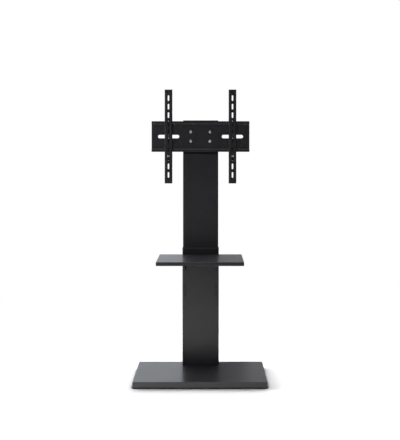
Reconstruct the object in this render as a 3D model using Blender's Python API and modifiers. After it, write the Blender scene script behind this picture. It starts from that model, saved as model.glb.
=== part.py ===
"""Pedestal floor stand with a height-adjustable mast, a panning mounting head and a hook-on shelf.

Lengths are metres and +Z is up. The origin is the middle of the base, on the floor.
+X is to the right and -Y is the front, where the shelf and the mounting face look.
"""
import math

import bmesh
import bpy
from mathutils import Matrix, Vector

# Clearances and the fineness of round work
SEAT_GAP = 0.0003
SHANK_CLEARANCE = 0.0003
CUT_OVERRUN = 0.002
WELD_OVERLAP = 0.001
FLAT_ANGLE = math.radians(1)
ARC_STEP = math.radians(22.5)
ROUND_SIDES = 20
HOLE_SIDES = 16
SCREW_SIDES = 12
BEVEL_STEPS = 3

# How wide a screw head's flat crown is, and how high its rim, as shares of the head
DOME_SHARES = (0.62, 0.35)

# Base cover, a tray of pressed sheet that hides the base plate
BASE_WIDTH = 0.600
BASE_DEPTH = 0.400
BASE_HEIGHT = 0.0295
SKIRT_LIFT = 0.005
BASE_SLANT = 0.0027
COVER_SHEET = 0.002
BASE_CORNER_RADIUS = 0.006
BASE_EDGE_RADIUS = 0.0026
COVER_COLUMN_CLEARANCE = 0.0005
COVER_BOSS_DIAMETER = 0.010
COVER_SCREW_SIDE_INSET = 0.120
COVER_SCREW_END_INSET = 0.030
COVER_SCREW_DIAMETER = 0.004
COVER_SCREW_LENGTH = 0.015
COVER_SCREW_HEAD_DIAMETER = 0.009
COVER_SCREW_HEAD_HEIGHT = 0.0024
COVER_SCREW_DRIVE_WIDTH = 0.003
COVER_SCREW_TIP_ROOM = 0.0006

# Base plate, the heavy steel sheet that everything is bolted to
PLATE_EDGE_CLEARANCE = 0.003
PLATE_THICKNESS = 0.006
PLATE_CORNER_RADIUS = 0.008
WELD_NUT_WIDTH = 0.013
WELD_NUT_HEIGHT = 0.0065

# Levelling feet
FOOT_INSET = 0.045
FOOT_PAD_DIAMETER = 0.032
FOOT_PAD_HEIGHT = 0.0067
FOOT_PAD_EDGE = 0.0012
FOOT_SOLE_THICKNESS = 0.0022
FOOT_STUD_DIAMETER = 0.008
FOOT_STUD_HEADROOM = 0.001
FOOT_STUD_CHAMFER = 0.001

# Lower column, a folded C section whose open side is at the rear
COLUMN_WIDTH = 0.173
COLUMN_DEPTH = 0.064
COLUMN_SHEET = 0.002
COLUMN_BEND = 0.003
COLUMN_LIP = 0.014
COLUMN_TOP = 0.580
COLUMN_REAR_SETBACK = 0.0143
COLUMN_FOOT_WIDTH = 0.230
COLUMN_FOOT_THICKNESS = 0.005
COLUMN_FOOT_FRONT_MARGIN = 0.0217
COLUMN_FOOT_REAR_MARGIN = 0.0043
COLUMN_FOOT_CORNER = 0.006
COLUMN_BOLT_SPAN = 0.201
COLUMN_BOLT_SETBACK = 0.0133
COLUMN_BOLT_ROW_PITCH = 0.037
COLUMN_BOLT_DIAMETER = 0.008
COLUMN_BOLT_HEAD_DIAMETER = 0.014
COLUMN_BOLT_HEAD_HEIGHT = 0.0044
COLUMN_BOLT_SOCKET_WIDTH = 0.005
COLUMN_BOLT_SOCKET_DEPTH = 0.0026

# Slots in the column's front that the shelf hooks into, two rows for each of the shelf's two places
SLOT_WIDTH = 0.004
SLOT_HEIGHT = 0.018
SLOT_SPAN = 0.147
SLOT_HEAD_MARGIN = 0.056
SLOT_PITCH = 0.033
SLOT_PLACE_DROP = 0.124

# Collar on the column's rim
COLLAR_OVERHANG = 0.0005
COLLAR_HEIGHT = 0.006
COLLAR_EDGE_RADIUS = 0.0025
COLLAR_RUNNING_GAP = 0.0004
COLLAR_CORNER_RADIUS = 0.0055
COLLAR_OPENING_RADIUS = 0.006
GUIDE_BLOCK_WIDTH = 0.140
GUIDE_BLOCK_DROP = 0.025
GUIDE_RUNNING_GAP = 0.0005

# Clamp that holds the mast at its height
CLAMP_DROP = 0.043
CLAMP_BRIDGE_WIDTH = 0.150
CLAMP_BRIDGE_HEIGHT = 0.064
CLAMP_BRIDGE_THICKNESS = 0.003
CLAMP_BRIDGE_CORNER = 0.005
HEIGHT_BOLT_PITCH = 0.036
HEIGHT_BOLT_DIAMETER = 0.008
HEIGHT_BOLT_HEAD_WIDTH = 0.013
HEIGHT_BOLT_HEAD_HEIGHT = 0.0053
HEIGHT_BOLT_TIP = 0.0029
HEIGHT_WASHER_DIAMETER = 0.024
HEIGHT_WASHER_THICKNESS = 0.002
NUT_BAR_WIDTH = 0.024
NUT_BAR_HEIGHT = 0.060
NUT_BAR_THICKNESS = 0.006

# Rear cover, which closes the column's open side
REAR_COVER_WIDTH = 0.151
REAR_COVER_THICKNESS = 0.0015
REAR_COVER_CORNER = 0.004
REAR_COVER_FOOT_GAP = 0.0015
REAR_COVER_HEAD_GAP = 0.002
REAR_STEP_CLEARANCE = 0.0008
CABLE_NOTCH_WIDTH = 0.060
CABLE_NOTCH_HEIGHT = 0.028
CABLE_NOTCH_RADIUS = 0.008

# Mast, the tube that slides in the column
MAST_WIDTH = 0.168
MAST_DEPTH = 0.0492
MAST_SHEET = 0.002
MAST_CORNER_RADIUS = 0.006
MAST_REAR_GAP = 0.0005
MAST_ENGAGEMENT = 0.220
MAST_HEAD_ROOM = 0.075
HEIGHT_TRAVEL = 0.100
HEIGHT_SLOT_END_GAP = 0.002
MAST_CABLE_HOLE_DROP = 0.115
MAST_CABLE_HOLE_WIDTH = 0.060
MAST_CABLE_HOLE_RISE = 0.036
FRONT_STRIP_MARGIN = 0.005
FRONT_STRIP_THICKNESS = 0.0015
FRONT_STRIP_EDGE = 0.0004
FRONT_STRIP_HEAD_GAP = 0.017
SHOE_FLANGE_HEIGHT = 0.004
SHOE_PLUG_HEIGHT = 0.012
SHOE_WALL = 0.0045
SHOE_PAD_WIDTH = 0.120
SHOE_PAD_HEIGHT = 0.030
SHOE_RUNNING_GAP = 0.0005
CAP_THICKNESS = 0.003
CAP_PLUG_DEPTH = 0.010
CAP_PLUG_WALL = 0.003
CAP_EDGE_RADIUS = 0.0012
GROMMET_FLANGE = 0.004
GROMMET_FLANGE_THICKNESS = 0.0022
GROMMET_LIP = 0.002
GROMMET_LIP_THICKNESS = 0.002
GROMMET_WALL = 0.0037

# Head bracket on the mast, and the pan bracket that turns in it
MOUNT_CENTRE_HEIGHT = 1.115
HEAD_WEB_WIDTH = 0.130
HEAD_WEB_HEIGHT = 0.130
BRACKET_PLATE = 0.004
BRACKET_CORNER = 0.006
PIVOT_FORWARD = 0.026
PIVOT_DIAMETER = 0.012
EAR_END_RADIUS = 0.016
HEAD_EAR_ROOT_WIDTH = 0.080
HEAD_EAR_SPREAD = 0.082
HEAD_BOLT_SPAN = 0.080
HEAD_BOLT_RISE = 0.110
HEAD_BOLT_DIAMETER = 0.006
HEAD_BOLT_LENGTH = 0.012
HEAD_BOLT_HEAD_DIAMETER = 0.0105
HEAD_BOLT_HEAD_HEIGHT = 0.0033
HEAD_BOLT_SOCKET_WIDTH = 0.004
HEAD_BOLT_SOCKET_DEPTH = 0.002
PIVOT_WASHER_THICKNESS = 0.0015
PIVOT_WASHER_DIAMETER = 0.026
PIVOT_HEAD_DIAMETER = 0.020
PIVOT_HEAD_HEIGHT = 0.005
PIVOT_HEAD_EDGE = 0.001
PIVOT_NUT_WIDTH = 0.019
PIVOT_NUT_HEIGHT = 0.008
PIVOT_TIP = 0.003
PAN_REACH = 0.020
PAN_WEB_WIDTH = 0.120
PAN_EAR_ROOT_WIDTH = 0.070

# Cross plate, the folded rail that the mounting arms hang on
RAIL_LENGTH = 0.460
RAIL_SHEET = 0.0025
RAIL_BEND = 0.0015
RAIL_HEIGHT = 0.120
RAIL_FLANGE = 0.009
RAIL_LIP_RISE = 0.012
RAIL_SLOT_LENGTH = 0.100
RAIL_SLOT_HEIGHT = 0.016
RAIL_SLOT_OFFSET = 0.150
PAN_BOLT_SPAN = 0.090
PAN_BOLT_RISE = 0.044
PAN_BOLT_DIAMETER = 0.008
PAN_BOLT_HEAD_DIAMETER = 0.014
PAN_BOLT_HEAD_HEIGHT = 0.0044
PAN_BOLT_SOCKET_WIDTH = 0.005
PAN_BOLT_SOCKET_DEPTH = 0.0026

# Mounting arms, two upright channels that hook on the rail
ARM_OFFSET = 0.150
ARM_WIDTH = 0.036
ARM_LENGTH = 0.440
ARM_SHEET = 0.002
ARM_BEND = 0.0015
ARM_SIDE = 0.0075
ARM_RAIL_GAP = 0.0004
HOOK_FLANGE_GAP = 0.001
HOOK_TOOTH_DEPTH = 0.0067
HOOK_TOOTH_RISE = 0.0177
HOOK_SHOULDER_RISE = 0.015
HOOK_ROOT_DROP = 0.009
ARM_HOLE_LENGTH = 0.026
ARM_HOLE_WIDTH = 0.007
ARM_HOLE_PITCH = 0.040
ARM_HOLE_COUNT = 10
LATCH_DEPTH = 0.0115
LATCH_LOW = 0.100
LATCH_HEIGHT = 0.020
LATCH_TAB_THICKNESS = 0.004
LOCK_SCREW_DIAMETER = 0.005
LOCK_SCREW_REAR_GAP = 0.0021
LOCK_SCREW_TIP_GAP = 0.004
LOCK_SCREW_HEAD_DIAMETER = 0.014
LOCK_SCREW_HEAD_HEIGHT = 0.012
LOCK_SCREW_HEAD_EDGE = 0.001

# Shelf panel, a pressed tray with its rims folded under
SHELF_WIDTH = 0.390
SHELF_DEPTH = 0.320
SHELF_THICKNESS = 0.017
SHELF_RISE = 0.0327
SHELF_SHEET = 0.0015
SHELF_CORNER_RADIUS = 0.006
SHELF_TOP_EDGE_RADIUS = 0.003
SHELF_LOW_EDGE_RADIUS = 0.0042
SHELF_RIM = 0.016
SHELF_COLUMN_GAP = 0.0005
SHELF_NOTCH_CLEARANCE = 0.0005
SHELF_BOSS_DIAMETER = 0.009
SHELF_BOSS_HEIGHT = 0.005
SHELF_SCREW_DIAMETER = 0.004
SHELF_SCREW_LENGTH = 0.0075
SHELF_SCREW_HEAD_DIAMETER = 0.008
SHELF_SCREW_HEAD_HEIGHT = 0.0022
SHELF_SCREW_DRIVE_WIDTH = 0.0028
SHELF_SCREW_TIP_ROOM = 0.0003

# Shelf brackets, plates that hook into the column's slots
GUSSET_THICKNESS = 0.0025
GUSSET_REACH = 0.200
GUSSET_HEEL_MARGIN = 0.0071
GUSSET_NOSE = 0.010
GUSSET_NOSE_RADIUS = 0.004
GUSSET_HEEL_RADIUS = 0.005
GUSSET_FLANGE_WIDTH = 0.020
GUSSET_FLANGE_SETBACK = 0.004
GUSSET_PANEL_GAP = 0.0003
SHELF_SCREW_SETBACK = 0.036
SHELF_SCREW_NOSE_INSET = 0.034
SHELF_HOOK_HEIGHT = 0.010
SHELF_HOOK_DROP = 0.006
SHELF_HOOK_DEPTH = 0.004

# Finishes: base colour, roughness and metallic of each
POWDER_COAT = ((0.042, 0.041, 0.047), 0.32, 0.35)
RAW_ZINC = ((0.62, 0.62, 0.60), 0.34, 1.0)
DARK_STEEL = ((0.10, 0.10, 0.105), 0.42, 0.8)
BLACK_PLASTIC = ((0.018, 0.018, 0.020), 0.48, 0.0)
BLACK_RUBBER = ((0.020, 0.020, 0.020), 0.80, 0.0)
NATURAL_NYLON = ((0.74, 0.72, 0.66), 0.50, 0.0)

# Axes that pieces are turned about or point along
RIGHT = Vector((1, 0, 0))
BACK = Vector((0, 1, 0))
FRONT = Vector((0, -1, 0))
UP = Vector((0, 0, 1))
DOWN = Vector((0, 0, -1))

# The plane that an outline is drawn in, as the rotation that lays its local axes along the world's
PLANES = {
    "XY": Matrix.Identity(4),
    "XZ": Matrix(((1, 0, 0, 0), (0, 0, -1, 0), (0, 1, 0, 0), (0, 0, 0, 1))),
    "YZ": Matrix(((0, 0, 1, 0), (1, 0, 0, 0), (0, 1, 0, 0), (0, 0, 0, 1))),
}
PLANE_NORMALS = {"XY": UP, "XZ": BACK, "YZ": RIGHT}

# Places that follow from the sizes above
merge_distance = SEAT_GAP / 10
plate_low = FOOT_PAD_HEIGHT + SEAT_GAP
plate_high = plate_low + PLATE_THICKNESS
cover_underside = BASE_HEIGHT - COVER_SHEET
column_back = BASE_DEPTH / 2 - COLUMN_REAR_SETBACK
column_front = column_back - COLUMN_DEPTH
column_middle = (column_front + column_back) / 2
foot_flange_low = plate_high + SEAT_GAP
foot_flange_high = foot_flange_low + COLUMN_FOOT_THICKNESS
column_low = foot_flange_high + SEAT_GAP
column_inner_front = column_front + COLUMN_SHEET
column_inner_back = column_back - COLUMN_SHEET
column_opening_width = COLUMN_WIDTH - 2 * COLUMN_LIP
mast_low = COLUMN_TOP - MAST_ENGAGEMENT
mast_top = MOUNT_CENTRE_HEIGHT + MAST_HEAD_ROOM
cable_hole_height = MOUNT_CENTRE_HEIGHT - MAST_CABLE_HOLE_DROP
mast_back = column_inner_back - MAST_REAR_GAP
mast_front = mast_back - MAST_DEPTH
mast_middle = (mast_front + mast_back) / 2
mast_inner_back = mast_back - MAST_SHEET
strip_back = mast_front - SEAT_GAP
strip_front = strip_back - FRONT_STRIP_THICKNESS
collar_low = COLUMN_TOP + SEAT_GAP
collar_high = collar_low + COLLAR_HEIGHT
clamp_centre = COLUMN_TOP - CLAMP_DROP
bridge_front = column_back + SEAT_GAP
bridge_back = bridge_front + CLAMP_BRIDGE_THICKNESS
head_web_back = mast_front - SEAT_GAP
head_web_front = head_web_back - BRACKET_PLATE
pivot_y = head_web_front - PIVOT_FORWARD
pan_web_back = pivot_y - PAN_REACH
pan_web_front = pan_web_back - BRACKET_PLATE
head_ear_inner = HEAD_EAR_SPREAD / 2
pan_ear_outer = head_ear_inner - 2 * SEAT_GAP - PIVOT_WASHER_THICKNESS
rail_back = pan_web_front - SEAT_GAP
rail_web_front = rail_back - RAIL_SHEET
rail_lip_back = rail_back - RAIL_FLANGE
rail_lip_front = rail_lip_back - RAIL_SHEET
arm_back = rail_lip_front - ARM_RAIL_GAP
arm_front = arm_back - ARM_SIDE
highest_slot = COLUMN_TOP - SLOT_HEAD_MARGIN
shelf_slot_heights = [highest_slot - SLOT_PITCH, highest_slot]
spare_slot_heights = [height - SLOT_PLACE_DROP for height in shelf_slot_heights]
shelf_back = column_front - SHELF_COLUMN_GAP
shelf_front = shelf_back - SHELF_DEPTH
shelf_middle = (shelf_back + shelf_front) / 2
shelf_top = highest_slot + SHELF_RISE
shelf_low = shelf_top - SHELF_THICKNESS
shelf_underside = shelf_top - SHELF_SHEET
gusset_offset = SLOT_SPAN / 2

parts = bpy.data.collections.new("pedestal_floor_stand")
cutters = bpy.data.collections.new("pedestal_floor_stand_cutters")


def clear_scene():
    """Remove whatever the open file holds, so that only the stand is left."""
    for scene_object in list(bpy.data.objects):
        bpy.data.objects.remove(scene_object, do_unlink=True)
    bpy.context.scene.collection.children.link(parts)
    bpy.context.scene.collection.children.link(cutters)


# Outlines, as lists of 2D points


def arc(centre, radius, start, sweep):
    """Points along an arc, ends included."""
    steps = max(2, math.ceil(abs(sweep) / ARC_STEP))
    angles = [start + sweep * step / steps for step in range(steps + 1)]
    return [centre + Vector((math.cos(angle), math.sin(angle))) * radius for angle in angles]


def filleted(corners, radii):
    """A closed outline whose corners are rounded, each with its own radius; 0 keeps a corner sharp."""
    points = []
    count = len(corners)
    for index, corner in enumerate(corners):
        radius = radii[index]
        here = Vector(corner)
        if radius <= 0:
            points.append(here)
            continue
        towards_last = (Vector(corners[index - 1]) - here).normalized()
        towards_next = (Vector(corners[(index + 1) % count]) - here).normalized()
        half_angle = towards_last.angle(towards_next) / 2
        bisector = (towards_last + towards_next).normalized()
        centre = here + bisector * (radius / math.sin(half_angle))
        first = here + towards_last * (radius / math.tan(half_angle)) - centre
        last = here + towards_next * (radius / math.tan(half_angle)) - centre
        start = math.atan2(first.y, first.x)
        sweep = math.atan2(first.x * last.y - first.y * last.x, first.dot(last))
        points += arc(centre, radius, start, sweep)
    return points


def rounded_rectangle(width, height, radius, centre=(0, 0)):
    """A rectangle with four equal round corners."""
    across, up = centre
    corners = [
        (across - width / 2, up - height / 2),
        (across + width / 2, up - height / 2),
        (across + width / 2, up + height / 2),
        (across - width / 2, up + height / 2),
    ]
    return filleted(corners, [radius] * len(corners))


def circle(diameter, centre=(0, 0), sides=HOLE_SIDES):
    """A round outline."""
    turns = [2 * math.pi * step / sides for step in range(sides)]
    return [Vector(centre) + Vector((math.cos(turn), math.sin(turn))) * diameter / 2 for turn in turns]


def stadium(width, height, centre=(0, 0)):
    """A slot outline with round ends, which lies along its longer side."""
    across, up = centre
    radius = min(width, height) / 2
    half_run = max(width, height) / 2 - radius
    quarter = math.pi / 2
    if width > height:
        right_end = arc(Vector((across + half_run, up)), radius, -quarter, math.pi)
        return right_end + arc(Vector((across - half_run, up)), radius, quarter, math.pi)
    top_end = arc(Vector((across, up + half_run)), radius, 0, math.pi)
    return top_end + arc(Vector((across, up - half_run)), radius, math.pi, math.pi)


def fold_outline(path, sheet, bend):
    """The closed section of a folded sheet: its face along path, the other face a sheet to the left.

    The inside of each fold has the radius bend and the outside is one sheet larger.
    """
    points = [Vector(point) for point in path]
    runs = [(after - before).normalized() for before, after in zip(points, points[1:])]
    lefts = [Vector((-run.y, run.x)) for run in runs]
    far_face = [points[0] + lefts[0] * sheet]
    near_radii = [0]
    far_radii = [0]
    for index in range(1, len(points) - 1):
        before = lefts[index - 1]
        after = lefts[index]
        mitre = (before + after) / (1 + before.dot(after))
        far_face.append(points[index] + mitre * sheet)
        turns_left = runs[index - 1].x * runs[index].y - runs[index - 1].y * runs[index].x > 0
        near_radii.append(bend + sheet if turns_left else bend)
        far_radii.append(bend if turns_left else bend + sheet)
    far_face.append(points[-1] + lefts[-1] * sheet)
    near_radii.append(0)
    far_radii.append(0)
    return filleted(points + far_face[::-1], near_radii + far_radii[::-1])


# Solids


def placed(name, mesh, collection=None):
    """A new object around a mesh, in the collection of parts unless another is given."""
    piece = bpy.data.objects.new(name, mesh)
    (collection or parts).objects.link(piece)
    return piece


def extruded(name, outlines, low, high, plane="XY", collection=None):
    """A flat plate between two heights over a plane; outlines inside the first are holes in it."""
    curve = bpy.data.curves.new(name, "CURVE")
    curve.dimensions = "2D"
    curve.fill_mode = "BOTH"
    curve.extrude = (high - low) / 2
    for outline in outlines:
        spline = curve.splines.new("POLY")
        spline.points.add(len(outline) - 1)
        for point, place in zip(spline.points, outline):
            point.co = (place[0], place[1], 0, 1)
        spline.use_cyclic_u = True
    drawing = placed(name + "_outline", curve, cutters)
    drawing.matrix_world = Matrix.Translation(PLANE_NORMALS[plane] * (low + high) / 2) @ PLANES[plane]
    bpy.context.view_layer.update()
    evaluated = drawing.evaluated_get(bpy.context.evaluated_depsgraph_get())
    mesh = bpy.data.meshes.new_from_object(evaluated)
    mesh.name = name
    solid = bmesh.new()
    solid.from_mesh(mesh)
    bmesh.ops.remove_doubles(solid, verts=solid.verts, dist=merge_distance)
    bmesh.ops.recalc_face_normals(solid, faces=solid.faces)
    solid.to_mesh(mesh)
    solid.free()
    piece = placed(name, mesh, collection)
    piece.matrix_world = drawing.matrix_world.copy()
    bpy.data.objects.remove(drawing, do_unlink=True)
    return piece


def block(name, low, high, collection=None):
    """A plain box between two corners."""
    low = Vector(low)
    high = Vector(high)
    mesh = bpy.data.meshes.new(name)
    solid = bmesh.new()
    bmesh.ops.create_cube(solid, size=1)
    bmesh.ops.scale(solid, vec=high - low, verts=solid.verts)
    solid.to_mesh(mesh)
    solid.free()
    piece = placed(name, mesh, collection)
    piece.location = (low + high) / 2
    return piece


def turned(name, profile, location, direction, sides=ROUND_SIDES, collection=None):
    """A round piece turned from a profile of (radius, height) points, from the top down its outside."""
    closed = profile[0] == profile[-1]
    corners = profile[:-1] if closed else profile
    edges = [(step, step + 1) for step in range(len(corners) - 1)]
    if closed:
        edges.append((len(corners) - 1, 0))
    mesh = bpy.data.meshes.new(name)
    mesh.from_pydata([(radius, 0, height) for radius, height in corners], edges, [])
    piece = placed(name, mesh, collection)
    screw = piece.modifiers.new("turn", "SCREW")
    screw.steps = sides
    screw.render_steps = sides
    screw.use_merge_vertices = True
    screw.merge_threshold = merge_distance
    screw.use_normal_calculate = False
    piece.matrix_world = Matrix.Translation(location) @ UP.rotation_difference(direction).to_matrix().to_4x4()
    return piece


def hexagon_prism(name, width, height, location, direction, collection=None):
    """A hexagonal prism, width across its flats, which stands on location along direction."""
    mesh = bpy.data.meshes.new(name)
    solid = bmesh.new()
    corner_radius = width / 2 / math.cos(math.pi / 6)
    bmesh.ops.create_cone(solid, cap_ends=True, segments=6, radius1=corner_radius,
                          radius2=corner_radius, depth=height)
    bmesh.ops.translate(solid, vec=UP * height / 2, verts=solid.verts)
    solid.to_mesh(mesh)
    solid.free()
    piece = placed(name, mesh, collection)
    piece.matrix_world = Matrix.Translation(location) @ UP.rotation_difference(direction).to_matrix().to_4x4()
    return piece


def combined(piece, tool, operation):
    """Join or cut a piece with a tool shape, which is kept as a wire guide."""
    tool.hide_render = True
    tool.display_type = "WIRE"
    change = piece.modifiers.new(tool.name, "BOOLEAN")
    change.operation = operation
    change.solver = "EXACT"
    change.object = tool
    return piece


def cut(piece, tool):
    """Cut a tool shape out of a piece."""
    return combined(piece, tool, "DIFFERENCE")


def welded(piece, tool):
    """Unite a piece with a tool shape that runs into it."""
    return combined(piece, tool, "UNION")


def finished(piece, finish, sharp_degrees=35):
    """Give a piece its own material and smooth its round faces."""
    colour, roughness, metallic = finish
    material = bpy.data.materials.new(piece.name + "_finish")
    material.use_nodes = True
    shader = material.node_tree.nodes["Principled BSDF"]
    shader.inputs["Base Color"].default_value = (*colour, 1)
    shader.inputs["Roughness"].default_value = roughness
    shader.inputs["Metallic"].default_value = metallic
    material.diffuse_color = (*colour, 1)
    piece.data.materials.clear()
    piece.data.materials.append(material)
    piece.data.shade_smooth()
    if piece.data.polygons:
        piece.data.set_sharp_from_angle(angle=math.radians(sharp_degrees))
    return piece


def bevelled_edges(piece, wanted, radius, steps=BEVEL_STEPS):
    """Round those edges of a piece's mesh whose two ends both satisfy a test on world places."""
    solid = bmesh.new()
    solid.from_mesh(piece.data)
    bmesh.ops.dissolve_limit(solid, angle_limit=FLAT_ANGLE, verts=solid.verts, edges=solid.edges)
    place = piece.matrix_world
    chosen = [edge for edge in solid.edges
              if all(wanted(place @ corner.co) for corner in edge.verts)]
    bmesh.ops.bevel(solid, geom=chosen, offset=radius, segments=steps, profile=0.5, affect="EDGES",
                    clamp_overlap=True)
    solid.to_mesh(piece.data)
    solid.free()
    return piece


def pressed_tray(name, width, depth, low, top, middle_y, slant, corner_radius, top_radius, sheet,
                 low_radius=0):
    """A tray of pressed sheet with its open side down.

    A low_radius above 0 folds the lower edges under instead, and leaves a floor to be cut open.
    """
    mesh = bpy.data.meshes.new(name)
    shell = bmesh.new()
    bmesh.ops.create_cube(shell, size=1)
    bmesh.ops.scale(shell, vec=(width, depth, top - low), verts=shell.verts)
    half_height = (top - low) / 2
    for corner in shell.verts:
        if corner.co.z > 0:
            corner.co.x -= math.copysign(slant, corner.co.x)
            corner.co.y -= math.copysign(slant, corner.co.y)
    uprights = [edge for edge in shell.edges if edge.verts[0].co.z * edge.verts[1].co.z < 0]
    bmesh.ops.bevel(shell, geom=uprights, offset=corner_radius, segments=BEVEL_STEPS + 1, profile=0.5,
                    affect="EDGES", clamp_overlap=True)

    def level_edges(height):
        return [edge for edge in shell.edges
                if all(abs(corner.co.z - height) < merge_distance for corner in edge.verts)]

    bmesh.ops.bevel(shell, geom=level_edges(half_height), offset=top_radius, segments=BEVEL_STEPS,
                    profile=0.5, affect="EDGES", clamp_overlap=True)
    if low_radius > 0:
        bmesh.ops.bevel(shell, geom=level_edges(-half_height), offset=low_radius, segments=BEVEL_STEPS,
                        profile=0.5, affect="EDGES", clamp_overlap=True)
    else:
        floor_faces = [face for face in shell.faces
                       if all(abs(corner.co.z + half_height) < merge_distance for corner in face.verts)]
        bmesh.ops.delete(shell, geom=floor_faces, context="FACES")
    bmesh.ops.recalc_face_normals(shell, faces=shell.faces)
    shell.to_mesh(mesh)
    shell.free()
    tray = placed(name, mesh)
    tray.location = (0, middle_y, (low + top) / 2)
    thicken = tray.modifiers.new("sheet", "SOLIDIFY")
    thicken.thickness = sheet
    thicken.offset = -1
    thicken.use_even_offset = True
    bpy.context.view_layer.update()
    return tray


def round_head_screw(name, location, direction, shank, length, head, rise, drive, drive_depth):
    """A screw whose domed head stands on location along direction, with its shank the other way."""
    crown_share, edge_share = DOME_SHARES
    profile = [(0, rise), (head / 2 * crown_share, rise), (head / 2, rise * edge_share), (head / 2, 0),
               (shank / 2, 0), (shank / 2, -length), (0, -length)]
    screw = turned(name, profile, location, direction, SCREW_SIDES)
    drive_foot = Vector(location) + direction * (rise - drive_depth)
    return cut(screw, hexagon_prism(name + "_drive", drive, drive_depth + CUT_OVERRUN, drive_foot,
                                    direction, cutters))


def ring(name, outer, inner, thickness, location, direction, sides=ROUND_SIDES):
    """A flat washer that stands on location along direction."""
    profile = [(inner / 2, thickness), (outer / 2, thickness), (outer / 2, 0), (inner / 2, 0),
               (inner / 2, thickness)]
    return turned(name, profile, location, direction, sides)


# Base


def make_base_cover():
    """The pressed cover with its opening for the column and four threaded bosses."""
    cover = pressed_tray("base_cover", BASE_WIDTH, BASE_DEPTH, SKIRT_LIFT, BASE_HEIGHT, 0, BASE_SLANT,
                         BASE_CORNER_RADIUS, BASE_EDGE_RADIUS, COVER_SHEET)
    opening = rounded_rectangle(COLUMN_WIDTH + 2 * COVER_COLUMN_CLEARANCE,
                                COLUMN_DEPTH + 2 * COVER_COLUMN_CLEARANCE,
                                COLUMN_BEND + COLUMN_SHEET, (0, column_middle))
    cut(cover, extruded("column_opening", [opening], cover_underside - CUT_OVERRUN,
                        BASE_HEIGHT + CUT_OVERRUN, "XY", cutters))
    for number, (across, along) in enumerate(cover_screw_places(), 1):
        boss = circle(COVER_BOSS_DIAMETER, (across, along))
        welded(cover, extruded(f"cover_boss_{number}", [boss], plate_high + SEAT_GAP,
                               cover_underside + WELD_OVERLAP, "XY", cutters))
        thread = circle(COVER_SCREW_DIAMETER + 2 * SHANK_CLEARANCE, (across, along))
        thread_top = cover_screw_seat() + COVER_SCREW_LENGTH + COVER_SCREW_TIP_ROOM
        cut(cover, extruded(f"cover_thread_{number}", [thread], plate_low, thread_top, "XY", cutters))
    finished(cover, POWDER_COAT)


def corner_places(across, along, middle=(0, 0)):
    """The four corners of a rectangle, from the front left one round."""
    centre_x, centre_y = middle
    return [(centre_x + side * across / 2, centre_y + end * along / 2)
            for side, end in ((-1, -1), (1, -1), (1, 1), (-1, 1))]


def cover_screw_places():
    """Where the screws come up through the base plate into the cover."""
    return corner_places(BASE_WIDTH - 2 * COVER_SCREW_SIDE_INSET, BASE_DEPTH - 2 * COVER_SCREW_END_INSET)


def cover_screw_seat():
    """The height of a cover screw's seat, just under the base plate."""
    return plate_low - SEAT_GAP


def foot_places():
    """The middles of the four levelling feet."""
    return corner_places(BASE_WIDTH - 2 * FOOT_INSET, BASE_DEPTH - 2 * FOOT_INSET)


def column_bolt_places():
    """The middles of the four bolts that hold the column's foot down."""
    middle = (0, column_front + COLUMN_BOLT_SETBACK + COLUMN_BOLT_ROW_PITCH / 2)
    return corner_places(COLUMN_BOLT_SPAN, COLUMN_BOLT_ROW_PITCH, middle)


def make_base_plate():
    """The steel plate, with its holes and the weld nuts of the feet on top."""
    trim = 2 * (COVER_SHEET + PLATE_EDGE_CLEARANCE)
    outlines = [rounded_rectangle(BASE_WIDTH - trim, BASE_DEPTH - trim, PLATE_CORNER_RADIUS)]
    outlines += [circle(COVER_SCREW_DIAMETER + 2 * SHANK_CLEARANCE, place)
                 for place in cover_screw_places()]
    outlines += [circle(COLUMN_BOLT_DIAMETER + 2 * SHANK_CLEARANCE, place)
                 for place in column_bolt_places()]
    plate = extruded("base_plate", outlines, plate_low, plate_high)
    for number, (across, along) in enumerate(foot_places(), 1):
        nut_foot = Vector((across, along, plate_high - WELD_OVERLAP))
        welded(plate, hexagon_prism(f"weld_nut_{number}", WELD_NUT_WIDTH, WELD_NUT_HEIGHT + WELD_OVERLAP,
                                    nut_foot, UP, cutters))
        thread = circle(FOOT_STUD_DIAMETER + 2 * SHANK_CLEARANCE, (across, along))
        cut(plate, extruded(f"weld_nut_thread_{number}", [thread], plate_low - CUT_OVERRUN,
                            plate_high + WELD_NUT_HEIGHT + CUT_OVERRUN, "XY", cutters))
    finished(plate, DARK_STEEL)


def make_cover_screws():
    """Screws from below, through the base plate into the cover's bosses."""
    for number, (across, along) in enumerate(cover_screw_places(), 1):
        screw = round_head_screw(f"cover_screw_{number}", Vector((across, along, cover_screw_seat())), DOWN,
                                 COVER_SCREW_DIAMETER, COVER_SCREW_LENGTH, COVER_SCREW_HEAD_DIAMETER,
                                 COVER_SCREW_HEAD_HEIGHT, COVER_SCREW_DRIVE_WIDTH,
                                 COVER_SCREW_HEAD_HEIGHT / 2)
        finished(screw, RAW_ZINC)


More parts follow.
